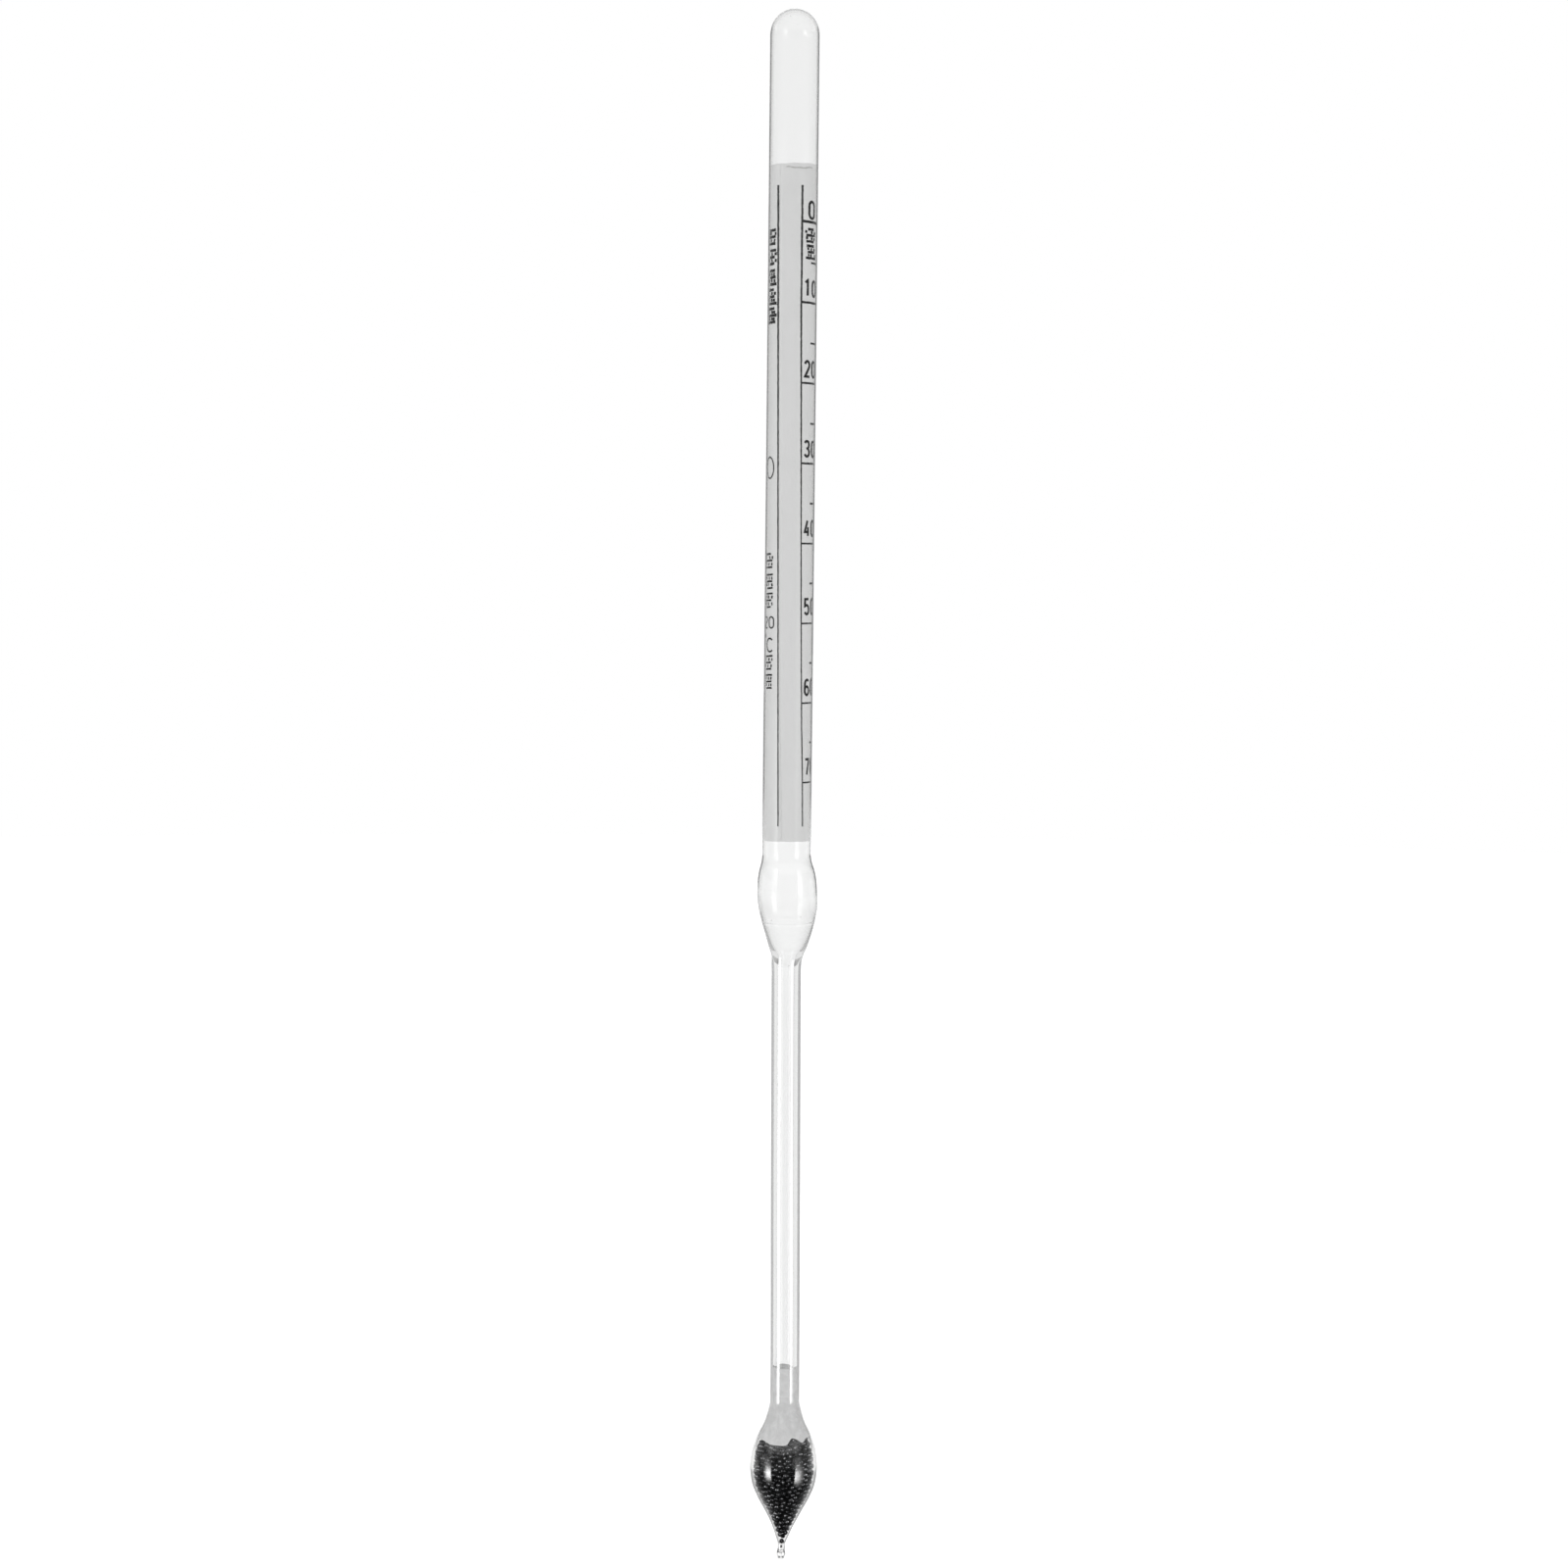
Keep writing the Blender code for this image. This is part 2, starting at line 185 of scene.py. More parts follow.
def add_mesh(name, verts, faces, materials, face_mat=None, smooth=True, parent=None):
    mesh = bpy.data.meshes.new(name)
    mesh.from_pydata([tuple(v) for v in (np.asarray(verts) * MM)], [], faces)
    for m in materials:
        mesh.materials.append(m)
    if face_mat is not None:
        mesh.polygons.foreach_set("material_index", np.asarray(face_mat, np.int32))
    mesh.update()
    if smooth:
        mesh.shade_smooth()
    obj = bpy.data.objects.new(name, mesh)
    scene.collection.objects.link(obj)
    if parent is not None:
        obj.parent = parent
    return obj


def grid_faces(rows, cols, start=0, flip=False):
    """Quads of a grid that closes on itself sideways."""
    out = []
    for i in range(rows - 1):
        a0, b0 = start + i * cols, start + (i + 1) * cols
        for j in range(cols):
            k = (j + 1) % cols
            q = (a0 + j, b0 + j, b0 + k, a0 + k)
            out.append(q[::-1] if flip else q)
    return out


def closed_turn(zs, radius, around, shift, inward=False, start=0):
    """A closed surface of revolution from its top pole to its lower pole.
    zs runs downwards and leaves out the poles' rings; shift moves a point (a, z)."""
    angles = np.arange(around) * TAU / around
    verts = [(float(lean(zs[0])), 0.0, zs[0])]
    for z in zs[1:-1]:
        r = radius(z) + shift(angles, z)
        ring = np.stack([r * np.cos(angles) + float(lean(z)), r * np.sin(angles),
                         np.full(around, z)], axis=1)
        verts.extend(map(tuple, ring))
    verts.append((float(lean(zs[-1])), 0.0, zs[-1]))
    n = len(zs) - 2
    faces = grid_faces(n, around, start + 1, flip=inward)
    last = start + 1 + n * around
    for j in range(around):
        k = (j + 1) % around
        top = (start, start + 1 + j, start + 1 + k)
        low = (last, last - around + k, last - around + j)
        faces.append(top[::-1] if inward else top)
        faces.append(low[::-1] if inward else low)
    return verts, faces


def ladder(stops):
    """Heights going down through (z, step) stops: each step holds to the next stop."""
    out = []
    for (a, step), (b, _) in zip(stops, stops[1:]):
        n = max(1, int(round((a - b) / step)))
        out += [a - (a - b) * i / n for i in range(n)]
    out.append(stops[-1][0])
    return out


# ---------------------------------------------------------------- materials
def new_material(name):
    mat = bpy.data.materials.new(name)
    mat.use_nodes = True
    nt = mat.node_tree
    nt.nodes.clear()
    out = nt.nodes.new("ShaderNodeOutputMaterial")
    return mat, nt, out


def node(nt, kind, inputs=None, **props):
    n = nt.nodes.new(kind)
    for k, v in props.items():
        setattr(n, k, v)
    for k, v in (inputs or {}).items():
        if isinstance(v, bpy.types.NodeSocket):
            nt.links.new(v, n.inputs[k])
        else:
            n.inputs[k].default_value = v
    return n


def ramp(nt, source, stops, interpolation="LINEAR"):
    n = nt.nodes.new("ShaderNodeValToRGB")
    n.color_ramp.interpolation = interpolation
    e = n.color_ramp.elements
    while len(e) > 1:
        e.remove(e[-1])
    for i, (pos, col) in enumerate(stops):
        c = (col, col, col, 1.0) if isinstance(col, (int, float)) else (*col, 1.0)
        if i == 0:
            e[0].position, e[0].color = pos, c
        else:
            e.new(pos).color = c
    nt.links.new(source, n.inputs["Fac"])
    return n.outputs["Color"]


def math_node(nt, op, a, b=None, c=None):
    n = nt.nodes.new("ShaderNodeMath")
    n.operation = op
    for i, v in enumerate((a, b, c)):
        if v is None:
            continue
        if isinstance(v, bpy.types.NodeSocket):
            nt.links.new(v, n.inputs[i])
        else:
            n.inputs[i].default_value = v
    return n.outputs[0]


def object_coords(nt, scale=(1000.0, 1000.0, 1000.0)):
    """Object coordinates in millimetres, scaled."""
    tc = node(nt, "ShaderNodeTexCoord")
    mp = node(nt, "ShaderNodeMapping", {"Vector": tc.outputs["Object"], "Scale": scale})
    return mp.outputs["Vector"]


def lamp_passes(nt, shader):
    """Light that is gathered by what is sealed in the glass goes straight through it."""
    lp = node(nt, "ShaderNodeLightPath")
    through = math_node(nt, "MAXIMUM", lp.outputs["Is Shadow Ray"],
                        lp.outputs["Is Diffuse Ray"])
    clear = node(nt, "ShaderNodeBsdfTransparent", {"Color": (1, 1, 1, 1)})
    mix = node(nt, "ShaderNodeMixShader", {0: through, 1: shader, 2: clear.outputs[0]})
    return mix.outputs[0]


def painted_glow_when_trapped(nt, shader):
    """Painted glow: where light is held in the thick wall by one inner reflection after
    another, the glass shows a soft grey emission instead of a black spot."""
    lp = node(nt, "ShaderNodeLightPath")
    tc = node(nt, "ShaderNodeTexCoord")
    up = node(nt, "ShaderNodeSeparateXYZ", {0: tc.outputs["Object"]})
    # the kink under the cone holds it soonest
    kink = ramp(nt, math_node(nt, "MULTIPLY_ADD", up.outputs[2], 4.0, 1.0),
                [(0.452, 0.0), (0.460, 1.0), (0.484, 1.0), (0.492, 0.0)])
    bounced = math_node(nt, "GREATER_THAN", lp.outputs["Glossy Depth"], 1.5)
    held = math_node(nt, "MAXIMUM",
                     math_node(nt, "GREATER_THAN", lp.outputs["Ray Depth"], 7.5),
                     math_node(nt, "MULTIPLY", bounced, kink))
    # painted glow: a flat grey emission in the glass, where there is no lamp
    glow = node(nt, "ShaderNodeEmission", {"Color": (1, 1, 1, 1), "Strength": 0.82})
    mix = node(nt, "ShaderNodeMixShader", {0: held, 1: shader, 2: glow.outputs[0]})
    return mix.outputs[0]


GLASS_IOR = 1.50
SHEEN = 5.0  # reflections off the outside are sampled this much more often


def make_outer_glass():
    mat, nt, out = new_material("clear_glass")
    mat.cycles.emission_sampling = "NONE"
    where = object_coords(nt, (1000.0, 1000.0, 90.0))
    draw = node(nt, "ShaderNodeTexNoise",
                {"Vector": where, "Scale": 0.9, "Detail": 3.0, "Roughness": 0.5})
    bump = node(nt, "ShaderNodeBump",
                {"Strength": 0.05, "Distance": 0.00002, "Height": draw.outputs["Fac"]})
    lw = node(nt, "ShaderNodeLayerWeight", {"Blend": 0.5})
    # painted shade: the glass tint darkens towards the outline, standing in for the dark
    # surroundings that the sides bend in
    thin = ramp(nt, lw.outputs["Facing"],
                [(0.0, (0.992, 0.994, 0.993)), (0.60, (0.985, 0.987, 0.986)),
                 (0.80, (0.85, 0.855, 0.853)), (0.93, (0.50, 0.505, 0.502)),
                 (1.0, (0.30, 0.303, 0.301))])
    # painted shade: for the thick wall of the neck the tint darkens more broadly towards its
    # sides, standing in for the dark surroundings the wall bends in
    thick = ramp(nt, lw.outputs["Facing"],
                 [(0.0, (0.990, 0.992, 0.991)), (0.22, (0.985, 0.987, 0.986)),
                  (0.29, (0.965, 0.968, 0.967)), (0.44, (0.91, 0.915, 0.912)),
                  (0.76, (0.80, 0.805, 0.802)), (1.0, (0.70, 0.703, 0.701))])
    tc = node(nt, "ShaderNodeTexCoord")
    up = node(nt, "ShaderNodeSeparateXYZ", {0: tc.outputs["Object"]})
    in_neck = ramp(nt, math_node(nt, "MULTIPLY_ADD", up.outputs[2], 4.0, 1.0),
                   [(0.178, 0.0), (0.215, 0.55), (0.460, 1.0), (0.475, 0.0)])
    painted_edge_shade = node(nt, "ShaderNodeMix", {0: in_neck, 6: thin, 7: thick}, data_type="RGBA")
    # the drawn bead was pinched and remelted; the darkness across it is painted shade: its tint
    # is darkened in bands at three heights, the two lower ones towards its sides, the top one
    # where it faces straight on
    along = math_node(nt, "MULTIPLY_ADD", up.outputs[2], 250.0, -END_Z / 4.0)
    beside = ramp(nt, lw.outputs["Facing"],
                  [(0.14, 0.0), (0.26, 1.0), (0.44, 1.0), (0.60, 0.1)])
    ahead = ramp(nt, lw.outputs["Facing"], [(0.04, 1.0), (0.14, 0.2), (0.22, 0.0)])
    low_painted_bands = ramp(nt, along, [(0.06, 0.0), (0.10, 0.80), (0.15, 0.80), (0.19, 0.0),
                                (0.30, 0.0), (0.34, 0.90), (0.44, 0.85), (0.50, 0.15),
                                (0.56, 0.0)])
    top_painted_band = ramp(nt, along, [(0.53, 0.0), (0.57, 0.85), (0.66, 0.85), (0.71, 0.0)])
    bead_painted_shade = math_node(nt, "ADD", math_node(nt, "MULTIPLY", beside, low_painted_bands),
                      math_node(nt, "MULTIPLY", ahead, top_painted_band))
    keep = math_node(nt, "SUBTRACT", 1.0, bead_painted_shade)
    painted_shade_tint = node(nt, "ShaderNodeVectorMath", {0: painted_edge_shade.outputs[2], "Scale": keep},
                  operation="SCALE")
    tint = painted_shade_tint.outputs[0]
    fr = node(nt, "ShaderNodeFresnel", {"IOR": GLASS_IOR})
    rest = math_node(nt, "SUBTRACT", 1.0, fr.outputs[0])
    body = node(nt, "ShaderNodeVectorMath", {0: tint, "Scale": rest}, operation="SCALE")
    refr = node(nt, "ShaderNodeBsdfRefraction",
                {"Color": body.outputs[0], "Roughness": 0.0, "IOR": GLASS_IOR,
                 "Normal": bump.outputs[0]})
    # painted shade on the reflection: the boxes are meant to stand low, so above the neck the
    # outside reflection is cut to a small part except near the outline, and the stem and the
    # bulge catch little of them
    high = ramp(nt, math_node(nt, "MULTIPLY_ADD", up.outputs[2], 4.0, 1.0),
                [(0.464, 0.0), (0.488, 0.93)])
    facing_it = ramp(nt, lw.outputs["Facing"], [(0.72, 1.0), (0.90, 0.0)])
    painted_reflection_cut = math_node(nt, "SUBTRACT", 1.0, math_node(nt, "MULTIPLY", high, facing_it))
    strong = math_node(nt, "MULTIPLY", fr.outputs[0], math_node(nt, "MULTIPLY", painted_reflection_cut, SHEEN))
    grey = node(nt, "ShaderNodeCombineColor", {0: strong, 1: strong, 2: strong})
    gloss = node(nt, "ShaderNodeBsdfGlossy",
                 {"Color": grey.outputs[0], "Roughness": 0.0, "Normal": bump.outputs[0]},
                 distribution="GGX")
    front = node(nt, "ShaderNodeAddShader", {0: refr.outputs[0], 1: gloss.outputs[0]})
    back = node(nt, "ShaderNodeBsdfGlass",
                {"Color": (1, 1, 1, 1), "Roughness": 0.0, "IOR": GLASS_IOR})
    geo = node(nt, "ShaderNodeNewGeometry")
    mix = node(nt, "ShaderNodeMixShader",
               {0: geo.outputs["Backfacing"], 1: front.outputs[0], 2: back.outputs[0]})
    free = painted_glow_when_trapped(nt, mix.outputs[0])
    nt.links.new(lamp_passes(nt, free), out.inputs["Surface"])
    return mat


def make_inner_glass():
    mat, nt, out = new_material("clear_glass_inside")
    mat.cycles.emission_sampling = "NONE"
    where = object_coords(nt, (1000.0, 1000.0, 120.0))
    draw = node(nt, "ShaderNodeTexNoise",
                {"Vector": where, "Scale": 1.3, "Detail": 2.0, "Roughness": 0.5})
    bump = node(nt, "ShaderNodeBump",
                {"Strength": 0.06, "Distance": 0.00002, "Height": draw.outputs["Fac"]})
    glass = node(nt, "ShaderNodeBsdfGlass",
                 {"Color": (0.995, 0.996, 0.995, 1), "Roughness": 0.0, "IOR": GLASS_IOR,
                  "Normal": bump.outputs[0]})
    free = painted_glow_when_trapped(nt, glass.outputs[0])
    nt.links.new(lamp_passes(nt, free), out.inputs["Surface"])
    return mat


def make_paper_material():
    mat, nt, out = new_material("scale_paper")
    fine = node(nt, "ShaderNodeTexNoise",
                {"Vector": object_coords(nt), "Scale": 14.0, "Detail": 4.0,
                 "Roughness": 0.65})
    fibre = node(nt, "ShaderNodeTexNoise",
                 {"Vector": object_coords(nt, (1000, 1000, 260)), "Scale": 9.0,
                  "Detail": 5.0, "Roughness": 0.6, "Distortion": 0.8})
    cloud = node(nt, "ShaderNodeTexNoise",
                 {"Vector": object_coords(nt), "Scale": 0.22, "Detail": 2.0})
    a = math_node(nt, "MULTIPLY_ADD", fine.outputs["Fac"], 0.40, 0.0)
    b = math_node(nt, "MULTIPLY_ADD", fibre.outputs["Fac"], 0.35, a)
    c = math_node(nt, "MULTIPLY_ADD", cloud.outputs["Fac"], 0.25, b)
    col = ramp(nt, c, [(0.30, (0.675, 0.675, 0.672)), (0.50, (0.705, 0.705, 0.703)),
                       (0.70, (0.735, 0.735, 0.733))])
    bump = node(nt, "ShaderNodeBump",
                {"Strength": 0.25, "Distance": 0.00001, "Height": fibre.outputs["Fac"]})
    bsdf = node(nt, "ShaderNodeBsdfPrincipled",
                {"Base Color": col, "Roughness": 0.82, "Normal": bump.outputs[0],
                 "Specular IOR Level": 0.2})
    nt.links.new(bsdf.outputs[0], out.inputs["Surface"])
    return mat


def make_ink_material():
    mat, nt, out = new_material("printed_ink")
    fine = node(nt, "ShaderNodeTexNoise",
                {"Vector": object_coords(nt), "Scale": 7.0, "Detail": 3.0,
                 "Roughness": 0.7})
    col = ramp(nt, fine.outputs["Fac"],
               [(0.35, (0.010, 0.010, 0.011)), (0.55, (0.018, 0.018, 0.019)),
                (0.72, (0.060, 0.060, 0.061))])
    rough = math_node(nt, "MULTIPLY_ADD", fine.outputs["Fac"], 0.3, 0.45)
    bsdf = node(nt, "ShaderNodeBsdfPrincipled",
                {"Base Color": col, "Roughness": rough, "Specular IOR Level": 0.25})
    nt.links.new(bsdf.outputs[0], out.inputs["Surface"])
    return mat


def make_glue_material():
    mat, nt, out = new_material("scale_glue")
    noise = node(nt, "ShaderNodeTexNoise",
                 {"Vector": object_coords(nt), "Scale": 3.0, "Detail": 3.0})
    col = ramp(nt, noise.outputs["Fac"],
               [(0.3, (0.40, 0.40, 0.39)), (0.7, (0.56, 0.56, 0.55))])
    rough = math_node(nt, "MULTIPLY_ADD", noise.outputs["Fac"], 0.25, 0.30)
    bsdf = node(nt, "ShaderNodeBsdfPrincipled",
                {"Base Color": col, "Roughness": rough})
    nt.links.new(bsdf.outputs[0], out.inputs["Surface"])
    return mat


def make_resin_material():
    mat, nt, out = new_material("ballast_resin")
    cloud = node(nt, "ShaderNodeTexNoise",
                 {"Vector": object_coords(nt), "Scale": 0.55, "Detail": 4.0,
                  "Roughness": 0.55, "Distortion": 1.4})
    fine = node(nt, "ShaderNodeTexNoise",
                {"Vector": object_coords(nt), "Scale": 4.0, "Detail": 4.0,
                 "Roughness": 0.6})
    a = math_node(nt, "MULTIPLY_ADD", cloud.outputs["Fac"], 0.7, 0.0)
    b = math_node(nt, "MULTIPLY_ADD", fine.outputs["Fac"], 0.3, a)
    col = ramp(nt, b, [(0.34, (0.520, 0.520, 0.520)), (0.50, (0.585, 0.585, 0.585)),
                       (0.66, (0.660, 0.660, 0.660))])
    bump = node(nt, "ShaderNodeBump",
                {"Strength": 0.4, "Distance": 0.00002, "Height": b})
    bsdf = node(nt, "ShaderNodeBsdfPrincipled",
                {"Base Color": col, "Roughness": 0.5, "Normal": bump.outputs[0],
                 "Specular IOR Level": 0.1})
    nt.links.new(bsdf.outputs[0], out.inputs["Surface"])
    return mat


def make_shot_material():
    """Small dull balls of dark metal: each catches one soft spot of light."""
    mat, nt, out = new_material("steel_shot")
    noise = node(nt, "ShaderNodeTexNoise",
                 {"Vector": object_coords(nt), "Scale": 2.2, "Detail": 3.0,
                  "Roughness": 0.6})
    patch = node(nt, "ShaderNodeTexNoise",
                 {"Vector": object_coords(nt), "Scale": 0.75, "Detail": 1.0})
    each = ramp(nt, patch.outputs["Fac"],
                [(0.36, (0.006, 0.006, 0.0065)), (0.50, (0.018, 0.018, 0.019)),
                 (0.62, (0.055, 0.055, 0.057))])
    worn = ramp(nt, noise.outputs["Fac"], [(0.35, 0.75), (0.65, 1.25)])
    col = node(nt, "ShaderNodeMix", {0: 1.0, 6: each, 7: worn}, data_type="RGBA",
               blend_type="MULTIPLY")
    rough = ramp(nt, noise.outputs["Fac"], [(0.35, 0.26), (0.7, 0.35)])
    bump = node(nt, "ShaderNodeBump",
                {"Strength": 0.2, "Distance": 0.00002, "Height": noise.outputs["Fac"]})
    bsdf = node(nt, "ShaderNodeBsdfPrincipled",
                {"Base Color": col.outputs[2], "Roughness": rough,
                 "Normal": bump.outputs[0], "Metallic": 0.9, "Specular IOR Level": 0.2,
                 "Specular Tint": (0.08, 0.08, 0.08, 1.0)})
    nt.links.new(bsdf.outputs[0], out.inputs["Surface"])
    return mat


clear_glass = make_outer_glass()
clear_inside = make_inner_glass()
paper_mat = make_paper_material()
ink_mat = make_ink_material()
glue_mat = make_glue_material()
resin_mat = make_resin_material()
shot_mat = make_shot_material()


# ---------------------------------------------------------------- the glass envelope
def weld_ring(a, z, size, width):
    """The flame weld between the blown bulge and the cone: a low, uneven ring."""
    path = WELD_Z + 0.10 * np.sin(a + 0.6) + 0.05 * np.sin(3 * a + 2.0)
    height = size * (1 + 0.35 * np.sin(5 * a + 1.0) + 0.25 * np.sin(11 * a))
    return height * np.exp(-(((z - path) / width) ** 2))


outer_noise = smooth_noise(3)
inner_noise = smooth_noise(5)


def outer_shift(a, z):
    s = 0.007 * outer_noise(a, z)
    if abs(z - WELD_Z) < 2.0:
        s = s + weld_ring(a, z, 0.028, 0.16)
    if -134.5 < z < -130.5:  # where the cone was drawn into the neck
        s = s + 0.03 * np.sin(2 * a + 0.4) * math.exp(-(((z + 132.3) / 0.7) ** 2))
    if z < -239.0:
        s = s + 0.02 * np.sin(3 * a + 4 * z) * min(1.0, (-239.0 - z) / 0.6)
    if z < END_Z + 0.3:
        s = s * 0.2
    return s * min(1.0, max(0.0, (STEM_TOP - z) / 3.0))


def inner_shift(a, z):
    s = 0.009 * inner_noise(a, z)
    if abs(z - WELD_Z) < 2.0:
        s = s - weld_ring(a + 0.3, z, 0.050, 0.14)
    if z < -236.0:
        s = s * 0.2
    return s * min(1.0, max(0.0, (STEM_TOP - CROWN_WALL - z) / 3.0))


def make_glass():
    around = 96
    base = STEM_TOP - DOME_HEIGHT
    dome = [base + DOME_HEIGHT * math.cos(math.radians(a)) for a in
            (0, 1.5, 4, 8, 13, 18, 24, 30, 36, 42, 48, 54, 60, 66, 72, 78, 84, 89)]
    zs = dome + ladder([(base, 1.3), (-112.0, 0.3), (-124.6, 0.07), (-126.1, 0.25),
                        (-134.6, 1.1), (-212.0, 0.3), (-238.6, 0.12), (END_Z + 0.35, 0.05)])
    zs += [END_Z + 0.35 * (1 - math.sin(math.radians(a))) for a in (15, 30, 45, 60, 75, 84)]
    zs.append(END_Z)
    verts, faces = closed_turn(zs, outer_r, around, outer_shift)
    n_outer = len(faces)
    h = DOME_HEIGHT - CROWN_WALL
    dome = [base + h * math.cos(math.radians(a)) for a in
            (0, 2, 5, 9, 14, 20, 27, 34, 41, 48, 55, 62, 69, 76, 83, 89)]
    zs = dome + ladder([(base, 1.5), (-112.0, 0.3), (-124.6, 0.07), (-126.1, 0.25),
                        (-134.6, 1.3), (-212.0, 0.4), (-238.6, 0.12),
                        (CAVITY_END_Z + 0.12, 0.05)])
    zs += [CAVITY_END_Z + s for s in (0.07, 0.03, 0.008)]
    zs.append(CAVITY_END_Z)
    iv, inner_faces = closed_turn(zs, inner_r, around, inner_shift, inward=True,
                                  start=len(verts))
    verts += iv
    faces += inner_faces
    mats = [0] * n_outer + [1] * len(inner_faces)

    # seeds: flattened bubbles caught in the wall
    bubbles = [
        # angle from the front, height, length along the tube, width
        (-14.0, 35.9, 0.20, 0.16), (6.0, 34.4, 0.14, 0.12), (28.0, 33.6, 0.12, 0.10),
        (-52.0, 31.0, 0.10, 0.08), (35.0, 20.5, 0.12, 0.07), (-20.0, 14.0, 0.10, 0.07),
        (130.0, 34.0, 0.16, 0.12), (200.0, 25.0, 0.13, 0.09), (-110.0, 17.0, 0.12, 0.08),
        (-38.0, -124.6, 0.34, 0.20), (61.0, -125.1, 0.26, 0.16), (-8.0, -121.7, 0.14, 0.10),
        (24.0, -118.2, 0.12, 0.08), (150.0, -124.9, 0.30, 0.18), (215.0, -120.0, 0.14, 0.1),
        (100.0, -117.0, 0.12, 0.08), (12.0, -133.0, 0.3, 0.12), (-25.0, -160.0, 0.3, 0.06),
        (40.0, -187.0, 0.35, 0.06), (170.0, -150.0, 0.3, 0.07), (-150.0, -196.0, 0.3, 0.06)]
    for turn, z, length, width in bubbles:
        a = math.radians(turn - 90.0)
        ro, ri = float(outer_r(z)), float(inner_r(z))
        mid, deep = (ro + ri) / 2, min(0.32 * (ro - ri), 0.5 * width)
        bm = bmesh.new()
        bmesh.ops.create_icosphere(bm, subdivisions=2, radius=1.0)
        out = Vector((math.cos(a), math.sin(a), 0))
        side = Vector((-math.sin(a), math.cos(a), 0))
        start = len(verts)
        for v in bm.verts:
            p = out * (mid + v.co.x * deep) + side * (v.co.y * width / 2)
            p.x += float(lean(z))
            p.z = z + v.co.z * length / 2
            verts.append(tuple(p))
        for f in bm.faces:
            faces.append(tuple(start + v.index for v in reversed(f.verts)))
            mats.append(1)
        bm.free()
    # air caught in the solid drawn end
    for dx, dy, z, length, width in [(0.03, -0.10, CAVITY_END_Z - 0.34, 0.30, 0.34),
                                     (-0.04, 0.04, END_Z + 1.45, 0.70, 1.06),
                                     (0.10, 0.05, END_Z + 0.95, 0.14, 0.20)]:
        bm = bmesh.new()
        bmesh.ops.create_icosphere(bm, subdivisions=3, radius=1.0)
        start = len(verts)
        for v in bm.verts:
            verts.append((v.co.x * width / 2 + dx + float(lean(z)),
                          v.co.y * width / 2 + dy, z + v.co.z * length / 2))
        for f in bm.faces:
            faces.append(tuple(start + v.index for v in reversed(f.verts)))
            mats.append(1)
        bm.free()
    obj = add_mesh("glass_envelope", verts, faces, [clear_glass, clear_inside], mats)
    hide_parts("stem_tube", "neck_tube", "ballast_bulb")
    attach(obj, "root")
    return obj


glass = make_glass()


# ---------------------------------------------------------------- the rolled scale
def print_angle(u, z):
    """Angle round +Z in radians of the print's degree u at height z. u 0 faces the
    front at the height of the first graduations; it grows towards the right. The sheet
    isn't rolled quite evenly, so its first edge wanders a few degrees."""
    u, z = np.asarray(u, float), np.asarray(z, float)
    wander = np.interp(z, [-107.0, -98.5, -90.0, -76.0, -66.0, -16.0, -8.0, 7.0],
                       [0.4, -0.2, -2.8, -4.0, -4.5, -4.5, -3.2, -1.0])
    fade = np.clip(1.0 - (u - LEFT_BORDER) / 280.0, 0.0, 1.0)
    return np.radians(u - 90.0 + TWIST * (6.45 - z) + wander * fade)


SEAM_U = -30.6
LEFT_BORDER, RIGHT_BORDER = 23.7, 320.2  # of the printed field, in print degrees
LINES_TOP, LINES_END = 6.8, -107.7


def make_paper():
    """One sheet, rolled once and a bit: its outer end lies on its inner end."""
    turn, cols, rows = 374.0, 187, 110
    fine = smooth_noise(11, 9)
    verts, faces = [], []
    us = SEAM_U + turn * np.arange(cols + 1) / cols
    heights = list(np.linspace(0, 1, rows + 1))
    for side in (0, 1):
        for h in heights:
            down = h
            along = (us - SEAM_U) / turn
            tuck = np.clip((along - 1 + 23.0 / turn) / (9.0 / turn), 0, 1)
            tuck = tuck * tuck * (3 - 2 * tuck)
            rag_top = (0.07 * np.sin(np.radians(us) * 2 + 0.3)
                       + 0.035 * np.sin(np.radians(us) * 9 + 1)
                       + 0.02 * np.sin(np.radians(us) * 23)) + 0.12
            rag_end = 0.05 * np.sin(np.radians(us) * 2 + 2) + 0.02 * np.sin(
                np.radians(us) * 11) - 0.10
            top, end = PAPER_TOP_Z + rag_top, PAPER_END_Z + rag_end
            z = top + (end - top) * down
            wave = 0.012 * fine(np.radians(us), z) - 0.006
            r = PAPER_R - (PAPER_THICK + 0.05) * tuck - side * PAPER_THICK + wave
            t = print_angle(us, z)
            verts.extend(zip(r * np.cos(t), r * np.sin(t), z))
    n = cols + 1
    half = n * (rows + 1)
    for i in range(rows):
        for j in range(cols):
            a = i * n + j
            faces.append((a, a + n, a + n + 1, a + 1))
            b = half + a
            faces.append((b, b + 1, b + n + 1, b + n))
    for i in range(rows):
        a = i * n
        faces.append((a, half + a, half + a + n, a + n))
        a = i * n + cols
        faces.append((a, a + n, half + a + n, half + a))
    for j in range(cols):
        faces.append((j, j + 1, half + j + 1, half + j))
        a = rows * n + j
        faces.append((a, half + a, half + a + 1, a + 1))
    obj = add_mesh("scale_sheet", verts, faces, [paper_mat])
    obj.data.set_sharp_from_angle(angle=math.radians(50))
    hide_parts("scale_paper")
    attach(obj, "root")
    return obj


make_paper()

INK_IN, INK_OUT = PAPER_R + 0.004, PAPER_R + 0.014


def droop(u, z):
    """The first graduations run slightly downhill to the right, in mm."""
    slope = float(np.interp(z, [-72.0, -57.0, -28.0, 0.0], [-0.015, 0.0, 0.045, 0.10]))
    return slope * math.radians(min(max(u - LEFT_BORDER, 0.0), 70.0)) * PAPER_R


